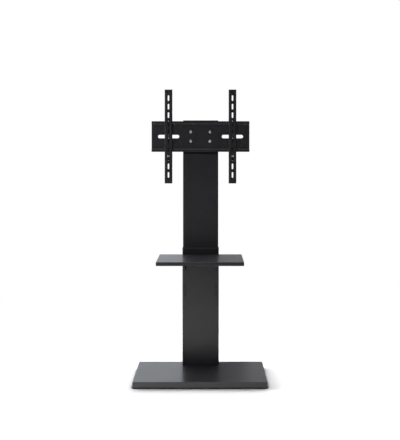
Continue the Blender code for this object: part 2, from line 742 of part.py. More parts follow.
def make_feet():
    """Four rubber pads, each on the end of its own threaded stud, under an empty on the stud's axis."""
    for number, (across, along) in enumerate(foot_places(), 1):
        axis = joint_axis(f"foot_{number}_axis", Vector((across, along, 0)))
        socket = FOOT_STUD_DIAMETER / 2 + SHANK_CLEARANCE
        outer = FOOT_PAD_DIAMETER / 2
        profile = [(0, FOOT_SOLE_THICKNESS), (socket, FOOT_SOLE_THICKNESS), (socket, FOOT_PAD_HEIGHT),
                   (outer - FOOT_PAD_EDGE, FOOT_PAD_HEIGHT), (outer, FOOT_PAD_HEIGHT - FOOT_PAD_EDGE),
                   (outer, FOOT_PAD_EDGE), (outer - FOOT_PAD_EDGE, 0), (0, 0)]
        pad = turned(f"foot_pad_{number}", profile, Vector((across, along, 0)), UP)
        stud_low = FOOT_SOLE_THICKNESS + SEAT_GAP
        stud_high = cover_underside - FOOT_STUD_HEADROOM
        radius = FOOT_STUD_DIAMETER / 2
        tip = radius - FOOT_STUD_CHAMFER
        stud = turned(f"foot_stud_{number}",
                      [(0, stud_high), (tip, stud_high), (radius, stud_high - FOOT_STUD_CHAMFER),
                       (radius, stud_low), (0, stud_low)], Vector((across, along, 0)), UP)
        carried(axis, [finished(pad, BLACK_RUBBER), finished(stud, RAW_ZINC)])


def joint_axis(name, place):
    """An empty on a joint's axis, which carries the pieces that move together."""
    axis = placed(name, None)
    axis.empty_display_size = FOOT_PAD_DIAMETER
    axis.location = place
    return axis


def carried(axis, pieces):
    """Parent pieces to an empty and leave them where they are."""
    bpy.context.view_layer.update()
    for piece in pieces:
        piece.parent = axis
        piece.matrix_parent_inverse = axis.matrix_world.inverted()


# Column


def make_column_foot():
    """The flange under the column, and the bolts that hold it to the base plate."""
    low_y = column_front - COLUMN_FOOT_FRONT_MARGIN
    high_y = column_back + COLUMN_FOOT_REAR_MARGIN
    outlines = [rounded_rectangle(COLUMN_FOOT_WIDTH, high_y - low_y, COLUMN_FOOT_CORNER,
                                  (0, (low_y + high_y) / 2))]
    outlines += [circle(COLUMN_BOLT_DIAMETER + 2 * SHANK_CLEARANCE, place)
                 for place in column_bolt_places()]
    finished(extruded("column_foot", outlines, foot_flange_low, foot_flange_high), DARK_STEEL)
    head_seat = foot_flange_high + SEAT_GAP
    for number, (across, along) in enumerate(column_bolt_places(), 1):
        bolt = round_head_screw(f"column_bolt_{number}", Vector((across, along, head_seat)), UP,
                                COLUMN_BOLT_DIAMETER, head_seat - plate_low - SEAT_GAP,
                                COLUMN_BOLT_HEAD_DIAMETER, COLUMN_BOLT_HEAD_HEIGHT,
                                COLUMN_BOLT_SOCKET_WIDTH, COLUMN_BOLT_SOCKET_DEPTH)
        finished(bolt, RAW_ZINC)


def make_lower_column():
    """The folded C section with four pairs of slots in its front."""
    half = COLUMN_WIDTH / 2
    lip_edge = column_opening_width / 2
    path = [(lip_edge, column_back), (half, column_back), (half, column_front),
            (-half, column_front), (-half, column_back), (-lip_edge, column_back)]
    section = fold_outline(path[::-1], COLUMN_SHEET, COLUMN_BEND)
    column = extruded("lower_column", [section], column_low, COLUMN_TOP)
    slots = [rounded_rectangle(SLOT_WIDTH, SLOT_HEIGHT, SLOT_WIDTH / 4, (side * SLOT_SPAN / 2, height))
             for height in spare_slot_heights + shelf_slot_heights for side in (-1, 1)]
    cut(column, extruded("shelf_slots", slots, column_front - CUT_OVERRUN,
                         column_inner_front + CUT_OVERRUN, "XZ", cutters))
    finished(column, POWDER_COAT)


def make_collar():
    """The moulded collar on the column's rim, whose front block guides the mast inside."""
    low_y = column_front - COLLAR_OVERHANG
    high_y = column_back + COLLAR_OVERHANG
    outer = rounded_rectangle(COLUMN_WIDTH + 2 * COLLAR_OVERHANG, high_y - low_y, COLLAR_CORNER_RADIUS,
                              (0, (low_y + high_y) / 2))
    hole_low = strip_front - COLLAR_RUNNING_GAP
    hole_high = mast_back + COLLAR_RUNNING_GAP
    hole = rounded_rectangle(MAST_WIDTH + 2 * COLLAR_RUNNING_GAP, hole_high - hole_low,
                             COLLAR_OPENING_RADIUS, (0, (hole_low + hole_high) / 2))
    collar = extruded("column_collar", [outer, hole], collar_low, collar_high)
    inside_x = MAST_WIDTH / 2 + 2 * COLLAR_RUNNING_GAP
    middle_y = (low_y + high_y) / 2
    inside_y = (high_y - low_y) / 2 - COLLAR_OVERHANG

    def on_outer_top(place):
        beyond_sides = abs(place.x) > inside_x
        beyond_ends = abs(place.y - middle_y) > inside_y
        return place.z > collar_high - SEAT_GAP and (beyond_sides or beyond_ends)

    bevelled_edges(collar, on_outer_top, COLLAR_EDGE_RADIUS)
    guide = block("collar_guide", (-GUIDE_BLOCK_WIDTH / 2, column_inner_front + SEAT_GAP,
                                   COLUMN_TOP - GUIDE_BLOCK_DROP),
                  (GUIDE_BLOCK_WIDTH / 2, strip_front - GUIDE_RUNNING_GAP, collar_low + WELD_OVERLAP), cutters)
    finished(welded(collar, guide), BLACK_PLASTIC)


def height_bolt_heights():
    """The upper and the lower clamp bolt's heights."""
    return {"upper": clamp_centre + HEIGHT_BOLT_PITCH / 2, "lower": clamp_centre - HEIGHT_BOLT_PITCH / 2}


def make_height_clamp():
    """The bridge over the column's open side, with two bolts that pull a nut bar against the mast."""
    hole = HEIGHT_BOLT_DIAMETER + 2 * SHANK_CLEARANCE
    bolt_holes = [circle(hole, (0, height)) for height in height_bolt_heights().values()]
    bridge = rounded_rectangle(CLAMP_BRIDGE_WIDTH, CLAMP_BRIDGE_HEIGHT, CLAMP_BRIDGE_CORNER,
                               (0, clamp_centre))
    finished(extruded("clamp_bridge", [bridge] + bolt_holes, bridge_front, bridge_back, "XZ"), POWDER_COAT)
    bar_back = mast_inner_back - SEAT_GAP
    bar = rounded_rectangle(NUT_BAR_WIDTH, NUT_BAR_HEIGHT, CLAMP_BRIDGE_CORNER, (0, clamp_centre))
    finished(extruded("clamp_nut_bar", [bar] + bolt_holes, bar_back - NUT_BAR_THICKNESS, bar_back, "XZ"),
             DARK_STEEL)
    washer_seat = bridge_back + SEAT_GAP
    head_seat = washer_seat + HEIGHT_WASHER_THICKNESS + SEAT_GAP
    shank_tip = bar_back - NUT_BAR_THICKNESS - HEIGHT_BOLT_TIP
    for name, height in height_bolt_heights().items():
        finished(ring(f"height_washer_{name}", HEIGHT_WASHER_DIAMETER, hole, HEIGHT_WASHER_THICKNESS,
                      Vector((0, washer_seat, height)), BACK), RAW_ZINC)
        bolt = hexagon_prism(f"height_bolt_{name}", HEIGHT_BOLT_HEAD_WIDTH, HEIGHT_BOLT_HEAD_HEIGHT,
                             Vector((0, head_seat, height)), BACK)
        radius = HEIGHT_BOLT_DIAMETER / 2
        chamfer = radius / 4
        length = head_seat + WELD_OVERLAP - shank_tip
        shank = turned(f"height_shank_{name}",
                       [(0, length), (radius, length), (radius, chamfer), (radius - chamfer, 0), (0, 0)],
                       Vector((0, shank_tip, height)), BACK, collection=cutters)
        finished(welded(bolt, shank), RAW_ZINC)


def make_rear_cover():
    """The snap-on cover of the column's open side, with a notch for cables at its foot."""
    low = BASE_HEIGHT + REAR_COVER_FOOT_GAP
    high = clamp_centre - CLAMP_BRIDGE_HEIGHT / 2 - REAR_COVER_HEAD_GAP
    middle = (low + high) / 2
    inner_face = column_back + SEAT_GAP
    outer_face = inner_face + REAR_COVER_THICKNESS
    panel = rounded_rectangle(REAR_COVER_WIDTH, high - low, REAR_COVER_CORNER, (0, middle))
    cover = extruded("rear_cover", [panel], inner_face, outer_face, "XZ")
    step_width = column_opening_width - 2 * REAR_STEP_CLEARANCE
    step = rounded_rectangle(step_width, high - low - 2 * REAR_COVER_CORNER, REAR_COVER_CORNER, (0, middle))
    step_front = mast_back + REAR_STEP_CLEARANCE
    welded(cover, extruded("rear_cover_step", [step], step_front, inner_face + REAR_COVER_THICKNESS / 2,
                           "XZ", cutters))
    notch = rounded_rectangle(CABLE_NOTCH_WIDTH, 2 * CABLE_NOTCH_HEIGHT, CABLE_NOTCH_RADIUS, (0, low))
    cut(cover, extruded("cable_notch", [notch], step_front - CUT_OVERRUN, outer_face + CUT_OVERRUN,
                        "XZ", cutters))
    axis = joint_axis("rear_cover_axis", Vector((0, inner_face, middle)))
    carried(axis, [finished(cover, POWDER_COAT)])


# Mast


def mast_outline(inset=0):
    """The mast's section, or the same section a little inside it."""
    return rounded_rectangle(MAST_WIDTH - 2 * inset, MAST_DEPTH - 2 * inset, MAST_CORNER_RADIUS - inset / 2,
                             (0, mast_middle))


def head_bolt_places():
    """The middles of the bolts that hold the head bracket, across and up."""
    return corner_places(HEAD_BOLT_SPAN, HEAD_BOLT_RISE, (0, MOUNT_CENTRE_HEIGHT))


def make_mast_tube():
    """The mast with its rear slot for the clamp, its cable hole and the holes of the head bolts."""
    mast = extruded("mast", [mast_outline(), mast_outline(MAST_SHEET)], mast_low, mast_top)
    bolt_heights = height_bolt_heights().values()
    end_room = HEIGHT_TRAVEL + HEIGHT_BOLT_DIAMETER / 2 + HEIGHT_SLOT_END_GAP
    slot_low = min(bolt_heights) - end_room
    slot_high = max(bolt_heights) + end_room
    slot = stadium(HEIGHT_BOLT_DIAMETER + 2 * SHANK_CLEARANCE, slot_high - slot_low,
                   (0, (slot_low + slot_high) / 2))
    cable_hole = stadium(MAST_CABLE_HOLE_WIDTH, MAST_CABLE_HOLE_RISE, (0, cable_hole_height))
    cut(mast, extruded("mast_rear_holes", [slot, cable_hole], mast_inner_back - CUT_OVERRUN,
                       mast_back + CUT_OVERRUN, "XZ", cutters))
    bolt_holes = [circle(HEAD_BOLT_DIAMETER + 2 * SHANK_CLEARANCE, place) for place in head_bolt_places()]
    cut(mast, extruded("mast_front_holes", bolt_holes, mast_front - CUT_OVERRUN,
                       mast_front + MAST_SHEET + CUT_OVERRUN, "XZ", cutters))
    return finished(mast, POWDER_COAT)


def make_front_strip():
    """The cover strip on the mast's front, a little narrower than the mast."""
    half = MAST_WIDTH / 2 - FRONT_STRIP_MARGIN
    high = MOUNT_CENTRE_HEIGHT - HEAD_WEB_HEIGHT / 2 - FRONT_STRIP_HEAD_GAP
    strip = block("mast_front_cover", (-half, strip_front, mast_low), (half, strip_back, high))

    def on_front(place):
        return place.y < strip_front + SEAT_GAP

    return finished(bevelled_edges(strip, on_front, FRONT_STRIP_EDGE, 2), POWDER_COAT)


def make_mast_shoe():
    """The moulded shoe in the mast's foot, whose front pad slides on the column's inside."""
    flange_low = mast_low - SEAT_GAP - SHOE_FLANGE_HEIGHT
    flange_high = mast_low - SEAT_GAP
    plug_inset = MAST_SHEET + SEAT_GAP
    opening = mast_outline(plug_inset + SHOE_WALL)
    shoe = extruded("mast_shoe", [mast_outline(), opening], flange_low, flange_high)
    welded(shoe, extruded("shoe_plug", [mast_outline(plug_inset), mast_outline(plug_inset + SHOE_WALL / 2)],
                          flange_high - WELD_OVERLAP, flange_high + SHOE_PLUG_HEIGHT, "XY", cutters))
    half = SHOE_PAD_WIDTH / 2
    pad_front = column_inner_front + SHOE_RUNNING_GAP
    pad_back = strip_front - SEAT_GAP
    foot_back = mast_front + plug_inset
    welded(shoe, block("shoe_pad_foot", (-half, pad_front, flange_low),
                       (half, foot_back, flange_high - SEAT_GAP), cutters))
    welded(shoe, block("shoe_pad", (-half, pad_front, flange_low + WELD_OVERLAP),
                       (half, pad_back, flange_low + SHOE_PAD_HEIGHT), cutters))
    return finished(shoe, BLACK_PLASTIC)


def make_mast_cap():
    """The moulded cap that closes the mast's top."""
    low = mast_top + SEAT_GAP
    high = low + CAP_THICKNESS
    cap = extruded("mast_cap", [mast_outline()], low, high)

    def on_top(place):
        return place.z > high - SEAT_GAP

    bevelled_edges(cap, on_top, CAP_EDGE_RADIUS)
    plug_inset = MAST_SHEET + SEAT_GAP
    welded(cap, extruded("cap_plug", [mast_outline(plug_inset), mast_outline(plug_inset + CAP_PLUG_WALL)],
                         low - CAP_PLUG_DEPTH, low + WELD_OVERLAP, "XY", cutters))
    return finished(cap, BLACK_PLASTIC)


def make_cable_grommet():
    """The rubber grommet in the mast's cable hole, with a flange outside and a lip inside."""
    middle = (0, cable_hole_height)
    width = MAST_CABLE_HOLE_WIDTH - 2 * SEAT_GAP
    rise = MAST_CABLE_HOLE_RISE - 2 * SEAT_GAP
    flange_front = mast_back + SEAT_GAP
    flange_back = flange_front + GROMMET_FLANGE_THICKNESS
    lip_back = mast_inner_back - SEAT_GAP
    lip_front = lip_back - GROMMET_LIP_THICKNESS
    flange = stadium(width + 2 * GROMMET_FLANGE, rise + 2 * GROMMET_FLANGE, middle)
    grommet = extruded("cable_grommet", [flange], flange_front, flange_back, "XZ")
    welded(grommet, extruded("grommet_sleeve", [stadium(width, rise, middle)], lip_front + SEAT_GAP,
                             flange_back - SEAT_GAP, "XZ", cutters))
    lip = stadium(width + 2 * GROMMET_LIP, rise + 2 * GROMMET_LIP, middle)
    welded(grommet, extruded("grommet_lip", [lip], lip_front, lip_back, "XZ", cutters))
    bore = stadium(width - 2 * GROMMET_WALL, rise - 2 * GROMMET_WALL, middle)
    cut(grommet, extruded("grommet_bore", [bore], lip_front - CUT_OVERRUN, flange_back + CUT_OVERRUN,
                          "XZ", cutters))
    return finished(grommet, BLACK_RUBBER)


def bracket(name, web_size, holes, web_front, ear_root, levels, towards):
    """A yoke: an upright web with an ear at each of two levels, which reaches forwards (-1) or back (1)."""
    width, height = web_size
    web_outline = rounded_rectangle(width, height, BRACKET_CORNER, (0, MOUNT_CENTRE_HEIGHT))
    yoke = extruded(name, [web_outline] + holes, web_front, web_front + BRACKET_PLATE, "XZ")
    root_y = web_front + BRACKET_PLATE / 2
    reach = abs(root_y - pivot_y)
    lean = math.atan2(ear_root / 2, reach) - math.asin(EAR_END_RADIUS / math.hypot(ear_root / 2, reach))
    start = -lean if towards < 0 else math.pi - lean
    nose = arc(Vector((0, pivot_y)), EAR_END_RADIUS, start, 2 * lean - math.pi)
    ear = [Vector((-towards * ear_root / 2, root_y))] + nose + [Vector((towards * ear_root / 2, root_y))]
    pin_hole = circle(PIVOT_DIAMETER + 2 * SHANK_CLEARANCE, (0, pivot_y))
    for label, (low, high) in zip(("lower", "upper"), levels):
        welded(yoke, extruded(f"{name}_{label}_ear", [ear, pin_hole], low, high, "XY", cutters))
    return yoke


def ear_levels(inner):
    """The heights of a lower and an upper ear whose nearer faces lie inner from the mount's centre."""
    outer = inner + BRACKET_PLATE
    return [(MOUNT_CENTRE_HEIGHT - outer, MOUNT_CENTRE_HEIGHT - inner),
            (MOUNT_CENTRE_HEIGHT + inner, MOUNT_CENTRE_HEIGHT + outer)]


def make_head_bracket():
    """The yoke on the mast's front, with its four bolts."""
    holes = [circle(HEAD_BOLT_DIAMETER + 2 * SHANK_CLEARANCE, place) for place in head_bolt_places()]
    yoke = bracket("head_bracket", (HEAD_WEB_WIDTH, HEAD_WEB_HEIGHT), holes, head_web_front,
                   HEAD_EAR_ROOT_WIDTH, ear_levels(head_ear_inner), -1)
    pieces = [finished(yoke, POWDER_COAT)]
    for number, (across, up) in enumerate(head_bolt_places(), 1):
        seat = Vector((across, head_web_front - SEAT_GAP, up))
        bolt = round_head_screw(f"head_bolt_{number}", seat, FRONT, HEAD_BOLT_DIAMETER, HEAD_BOLT_LENGTH,
                                HEAD_BOLT_HEAD_DIAMETER, HEAD_BOLT_HEAD_HEIGHT, HEAD_BOLT_SOCKET_WIDTH,
                                HEAD_BOLT_SOCKET_DEPTH)
        pieces.append(finished(bolt, RAW_ZINC))
    return pieces


def make_pivot():
    """The pan pivot: a headed pin through all four ears, and its nut below."""
    top_seat = MOUNT_CENTRE_HEIGHT + head_ear_inner + BRACKET_PLATE + SEAT_GAP
    nut_seat = MOUNT_CENTRE_HEIGHT - head_ear_inner - BRACKET_PLATE - SEAT_GAP
    tip = nut_seat - PIVOT_NUT_HEIGHT - PIVOT_TIP
    head = PIVOT_HEAD_DIAMETER / 2
    radius = PIVOT_DIAMETER / 2
    edge = PIVOT_HEAD_EDGE
    profile = [(0, top_seat + PIVOT_HEAD_HEIGHT), (head - edge, top_seat + PIVOT_HEAD_HEIGHT),
               (head, top_seat + PIVOT_HEAD_HEIGHT - edge), (head, top_seat), (radius, top_seat),
               (radius, tip + edge), (radius - edge, tip), (0, tip)]
    pin = turned("pivot_pin", profile, Vector((0, pivot_y, 0)), UP)
    nut_low = Vector((0, pivot_y, nut_seat - PIVOT_NUT_HEIGHT))
    nut = hexagon_prism("pivot_nut", PIVOT_NUT_WIDTH, PIVOT_NUT_HEIGHT, nut_low, UP)
    thread = circle(PIVOT_DIAMETER + 2 * SHANK_CLEARANCE, (0, pivot_y))
    cut(nut, extruded("pivot_nut_thread", [thread], nut_low.z - CUT_OVERRUN, nut_seat + CUT_OVERRUN,
                      "XY", cutters))
    return [finished(pin, RAW_ZINC), finished(nut, RAW_ZINC)]


def make_mast():
    """Everything that rises and falls with the mast."""
    pieces = [make_mast_tube(), make_front_strip(), make_mast_shoe(), make_mast_cap(), make_cable_grommet()]
    pieces += make_head_bracket()
    pieces += make_pivot()
    axis = joint_axis("mast_axis", Vector((0, mast_middle, mast_low)))
    carried(axis, pieces)
    return axis


# Panning head


def pan_bolt_places():
    """The middles of the bolts that hold the cross plate, across and up."""
    return corner_places(PAN_BOLT_SPAN, PAN_BOLT_RISE, (0, MOUNT_CENTRE_HEIGHT))


def make_pan_bracket():
    """The yoke that turns on the pivot, with its two washers."""
    holes = [circle(PAN_BOLT_DIAMETER + 2 * SHANK_CLEARANCE, place) for place in pan_bolt_places()]
    pan_ear_inner = pan_ear_outer - BRACKET_PLATE
    yoke = bracket("pan_bracket", (PAN_WEB_WIDTH, 2 * pan_ear_outer), holes, pan_web_front,
                   PAN_EAR_ROOT_WIDTH, ear_levels(pan_ear_inner), 1)
    pieces = [finished(yoke, POWDER_COAT)]
    seats = {"upper": MOUNT_CENTRE_HEIGHT + pan_ear_outer + SEAT_GAP,
             "lower": MOUNT_CENTRE_HEIGHT - head_ear_inner + SEAT_GAP}
    for label, height in seats.items():
        washer = ring(f"pivot_washer_{label}", PIVOT_WASHER_DIAMETER, PIVOT_DIAMETER + 2 * SHANK_CLEARANCE,
                      PIVOT_WASHER_THICKNESS, Vector((0, pivot_y, height)), UP)
        pieces.append(finished(washer, NATURAL_NYLON))
    return pieces


def make_cross_plate():
    """The folded rail with lips above and below, and the four bolts that hold it to the yoke."""
    half = RAIL_HEIGHT / 2
    path = [(rail_lip_back, half + RAIL_LIP_RISE), (rail_lip_back, half), (rail_back, half),
            (rail_back, -half), (rail_lip_back, -half), (rail_lip_back, -half - RAIL_LIP_RISE)]
    raised = [(along, up + MOUNT_CENTRE_HEIGHT) for along, up in path]
    section = fold_outline(raised[::-1], RAIL_SHEET, RAIL_BEND)
    rail = extruded("cross_plate", [section], -RAIL_LENGTH / 2, RAIL_LENGTH / 2, "YZ")
    holes = [circle(PAN_BOLT_DIAMETER + 2 * SHANK_CLEARANCE, place) for place in pan_bolt_places()]
    holes += [stadium(RAIL_SLOT_LENGTH, RAIL_SLOT_HEIGHT, (side * RAIL_SLOT_OFFSET, MOUNT_CENTRE_HEIGHT))
              for side in (-1, 1)]
    cut(rail, extruded("cross_plate_holes", holes, rail_web_front - CUT_OVERRUN, rail_back + CUT_OVERRUN,
                       "XZ", cutters))
    pieces = [finished(rail, POWDER_COAT)]
    bolt_length = pan_web_back - rail_web_front
    for number, (across, up) in enumerate(pan_bolt_places(), 1):
        seat = Vector((across, rail_web_front - SEAT_GAP, up))
        bolt = round_head_screw(f"pan_bolt_{number}", seat, FRONT, PAN_BOLT_DIAMETER, bolt_length,
                                PAN_BOLT_HEAD_DIAMETER, PAN_BOLT_HEAD_HEIGHT, PAN_BOLT_SOCKET_WIDTH,
                                PAN_BOLT_SOCKET_DEPTH)
        pieces.append(finished(bolt, RAW_ZINC))
    return pieces


def make_arm(side, offset):
    """A mounting arm that hooks over the rail's upper lip, and the screw that locks it at the lower."""
    half = ARM_WIDTH / 2
    inner = half - ARM_SHEET
    low = MOUNT_CENTRE_HEIGHT - ARM_LENGTH / 2
    high = MOUNT_CENTRE_HEIGHT + ARM_LENGTH / 2
    path = [(offset - half, arm_back), (offset - half, arm_front),
            (offset + half, arm_front), (offset + half, arm_back)]
    arm = extruded(f"arm_{side}", [fold_outline(path, ARM_SHEET, ARM_BEND)], low, high)
    holes = []
    for step in range(ARM_HOLE_COUNT):
        rise = (step - (ARM_HOLE_COUNT - 1) / 2) * ARM_HOLE_PITCH
        holes.append(stadium(ARM_HOLE_WIDTH, ARM_HOLE_LENGTH, (offset, MOUNT_CENTRE_HEIGHT + rise)))
    cut(arm, extruded(f"arm_{side}_holes", holes, arm_front - CUT_OVERRUN,
                      arm_front + ARM_SHEET + CUT_OVERRUN, "XZ", cutters))
    root = arm_front + 2 * ARM_SHEET
    flange = MOUNT_CENTRE_HEIGHT + RAIL_HEIGHT / 2
    lip_top = flange + RAIL_LIP_RISE + SEAT_GAP
    notch_back = rail_lip_back + ARM_RAIL_GAP
    tooth_back = notch_back + HOOK_TOOTH_DEPTH
    tooth_low = flange + HOOK_FLANGE_GAP
    tooth_high = lip_top + HOOK_TOOTH_RISE
    hook = [(root, flange - HOOK_ROOT_DROP), (arm_back, flange - HOOK_ROOT_DROP), (arm_back, lip_top),
            (notch_back, lip_top), (notch_back, tooth_low), (tooth_back, tooth_low),
            (tooth_back, tooth_high), (arm_back, tooth_high + HOOK_SHOULDER_RISE),
            (root, tooth_high + HOOK_SHOULDER_RISE)]
    latch_low = MOUNT_CENTRE_HEIGHT - LATCH_LOW
    latch_back = arm_back + LATCH_DEPTH
    latch = [(root, latch_low), (latch_back, latch_low), (latch_back, latch_low + LATCH_HEIGHT),
             (root, latch_low + LATCH_HEIGHT)]
    for label, edge in (("near", -half), ("far", inner)):
        for shape, outline in (("hook", hook), ("latch", latch)):
            welded(arm, extruded(f"arm_{side}_{label}_{shape}", [outline], offset + edge,
                                 offset + edge + ARM_SHEET, "YZ", cutters))
    screw_y = rail_lip_back + LOCK_SCREW_REAR_GAP + LOCK_SCREW_DIAMETER / 2
    tab_outline = rounded_rectangle(2 * half - ARM_SHEET, latch_back - root, 0,
                                    (offset, (root + latch_back) / 2))
    tab_hole = circle(LOCK_SCREW_DIAMETER + 2 * SHANK_CLEARANCE, (offset, screw_y))
    welded(arm, extruded(f"arm_{side}_tab", [tab_outline, tab_hole], latch_low,
                         latch_low + LATCH_TAB_THICKNESS, "XY", cutters))
    head_top = latch_low - SEAT_GAP
    tip = MOUNT_CENTRE_HEIGHT - RAIL_HEIGHT / 2 - LOCK_SCREW_TIP_GAP
    head = LOCK_SCREW_HEAD_DIAMETER / 2
    edge = LOCK_SCREW_HEAD_EDGE
    radius = LOCK_SCREW_DIAMETER / 2
    chamfer = radius / 4
    profile = [(0, tip), (radius - chamfer, tip), (radius, tip - chamfer), (radius, head_top),
               (head - edge, head_top), (head, head_top - edge),
               (head, head_top - LOCK_SCREW_HEAD_HEIGHT + edge),
               (head - edge, head_top - LOCK_SCREW_HEAD_HEIGHT), (0, head_top - LOCK_SCREW_HEAD_HEIGHT)]
    screw = turned(f"arm_lock_screw_{side}", profile, Vector((offset, screw_y, 0)), UP)
    axis = joint_axis(f"arm_{side}_axis", Vector((offset, arm_back, MOUNT_CENTRE_HEIGHT)))
    carried(axis, [finished(arm, POWDER_COAT), finished(screw, BLACK_PLASTIC)])
    return axis


def make_head(mast_axis):
    """Everything that pans with the head, on an empty on the pivot's axis."""
    axis = joint_axis("pan_axis", Vector((0, pivot_y, MOUNT_CENTRE_HEIGHT)))
    carried(axis, make_pan_bracket() + make_cross_plate())
    carried(axis, [make_arm("left", -ARM_OFFSET), make_arm("right", ARM_OFFSET)])
    carried(mast_axis, [axis])


# Shelf


def shelf_screw_places():
    """The middles of the screws that hold the shelf panel to its brackets."""
    return [(side * (gusset_offset - GUSSET_FLANGE_WIDTH / 2), shelf_back - setback) for side in (-1, 1)
            for setback in (SHELF_SCREW_SETBACK, GUSSET_REACH - SHELF_SCREW_NOSE_INSET)]


def gusset_top():
    """The height of a bracket's upper edge, just under the shelf's bosses."""
    return shelf_underside - SHELF_BOSS_HEIGHT - GUSSET_PANEL_GAP


def make_shelf_panel():
    """The pressed panel, notched at the rear for its brackets, with four bosses inside."""
    panel = pressed_tray("shelf_panel", SHELF_WIDTH, SHELF_DEPTH, shelf_low, shelf_top, shelf_middle, 0,
                         SHELF_CORNER_RADIUS, SHELF_TOP_EDGE_RADIUS, SHELF_SHEET,
                         SHELF_LOW_EDGE_RADIUS)
    opening = rounded_rectangle(SHELF_WIDTH - 2 * SHELF_RIM, SHELF_DEPTH - 2 * SHELF_RIM,
                                SHELF_CORNER_RADIUS, (0, shelf_middle))
    cut(panel, extruded("shelf_opening", [opening], shelf_low - CUT_OVERRUN,
                        shelf_low + SHELF_SHEET + CUT_OVERRUN, "XY", cutters))
    notch_width = GUSSET_THICKNESS + 2 * SHELF_NOTCH_CLEARANCE
    notch_depth = SHELF_RIM + CUT_OVERRUN
    for label, side in (("left", -1), ("right", 1)):
        middle = side * gusset_offset
        cut(panel, block(f"shelf_notch_{label}",
                         (middle - notch_width / 2, shelf_back - notch_depth, shelf_low - CUT_OVERRUN),
                         (middle + notch_width / 2, shelf_back + CUT_OVERRUN,
                          gusset_top() + SHELF_NOTCH_CLEARANCE), cutters))
    for number, place in enumerate(shelf_screw_places(), 1):
        boss_low = shelf_underside - SHELF_BOSS_HEIGHT
        welded(panel, extruded(f"shelf_boss_{number}", [circle(SHELF_BOSS_DIAMETER, place)], boss_low,
                               shelf_underside + SHELF_SHEET / 2, "XY", cutters))
        thread = circle(SHELF_SCREW_DIAMETER + 2 * SHANK_CLEARANCE, place)
        thread_top = shelf_screw_seat() + SHELF_SCREW_LENGTH + SHELF_SCREW_TIP_ROOM
        cut(panel, extruded(f"shelf_thread_{number}", [thread], boss_low - CUT_OVERRUN, thread_top,
                            "XY", cutters))
    return finished(panel, POWDER_COAT)


def shelf_screw_seat():
    """The height of a shelf screw's seat, just under the bracket's flange."""
    return gusset_top() - GUSSET_THICKNESS - SEAT_GAP


def make_shelf_bracket(label, side):
    """A gusset plate with a flange for the panel's screws and two hooks for the column's slots."""
    high = gusset_top()
    tab_lows = [height - SLOT_HEIGHT / 2 + SEAT_GAP for height in shelf_slot_heights]
    low = min(tab_lows) - GUSSET_HEEL_MARGIN
    nose_low = high - GUSSET_NOSE
    back = column_front - SEAT_GAP
    nose = shelf_back - GUSSET_REACH
    corners = [(back, high), (nose, high), (nose, nose_low), (back - GUSSET_HEEL_RADIUS, low), (back, low)]
    plate = filleted(corners, [0, GUSSET_NOSE_RADIUS / 2, GUSSET_NOSE_RADIUS, GUSSET_HEEL_RADIUS / 2, 0])
    middle = side * gusset_offset
    near = middle - GUSSET_THICKNESS / 2
    far = middle + GUSSET_THICKNESS / 2
    gusset = extruded(f"shelf_bracket_{label}", [plate], near, far, "YZ")
    inward = -side
    flange_middle = middle + inward * (GUSSET_FLANGE_WIDTH - GUSSET_THICKNESS) / 2
    flange_back = shelf_back - SHELF_RIM - GUSSET_FLANGE_SETBACK
    flange_outline = rounded_rectangle(GUSSET_FLANGE_WIDTH, flange_back - nose - GUSSET_FLANGE_SETBACK, 0,
                                       (flange_middle, (flange_back + nose + GUSSET_FLANGE_SETBACK) / 2))
    holes = [circle(SHELF_SCREW_DIAMETER + 2 * SHANK_CLEARANCE, place) for place in shelf_screw_places()
             if place[0] * side > 0]
    welded(gusset, extruded(f"shelf_flange_{label}", [flange_outline] + holes, high - GUSSET_THICKNESS, high,
                            "XY", cutters))
    root = back - WELD_OVERLAP
    tooth_front = column_inner_front + SEAT_GAP
    tooth_back = tooth_front + SHELF_HOOK_DEPTH
    for number, tab_low in enumerate(tab_lows, 1):
        tab_high = tab_low + SHELF_HOOK_HEIGHT
        tooth_low = tab_low - SHELF_HOOK_DROP
        hook = [(root, tab_low), (tooth_front, tab_low), (tooth_front, tooth_low),
                (tooth_back, tooth_low), (tooth_back, tab_high), (root, tab_high)]
        welded(gusset, extruded(f"shelf_hook_{label}_{number}", [hook], near, far, "YZ", cutters))
    return finished(gusset, POWDER_COAT)


def make_shelf():
    """The shelf with its brackets and screws, on an empty at its rear edge."""
    pieces = [make_shelf_panel(), make_shelf_bracket("left", -1), make_shelf_bracket("right", 1)]
    for number, (across, along) in enumerate(shelf_screw_places(), 1):
        screw = round_head_screw(f"shelf_screw_{number}", Vector((across, along, shelf_screw_seat())), DOWN,
                                 SHELF_SCREW_DIAMETER, SHELF_SCREW_LENGTH, SHELF_SCREW_HEAD_DIAMETER,
                                 SHELF_SCREW_HEAD_HEIGHT, SHELF_SCREW_DRIVE_WIDTH,
                                 SHELF_SCREW_HEAD_HEIGHT / 2)
        pieces.append(finished(screw, RAW_ZINC))
    carried(joint_axis("shelf_axis", Vector((0, shelf_back, shelf_top))), pieces)


clear_scene()
make_base_cover()
make_base_plate()
make_cover_screws()
make_feet()
make_column_foot()
make_lower_column()
make_collar()
make_height_clamp()
make_rear_cover()
make_head(make_mast())
make_shelf()
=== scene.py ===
"""Pedestal floor stand in charcoal powder coat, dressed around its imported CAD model."""

import math

import bmesh
import bpy
from mathutils import Matrix, Vector


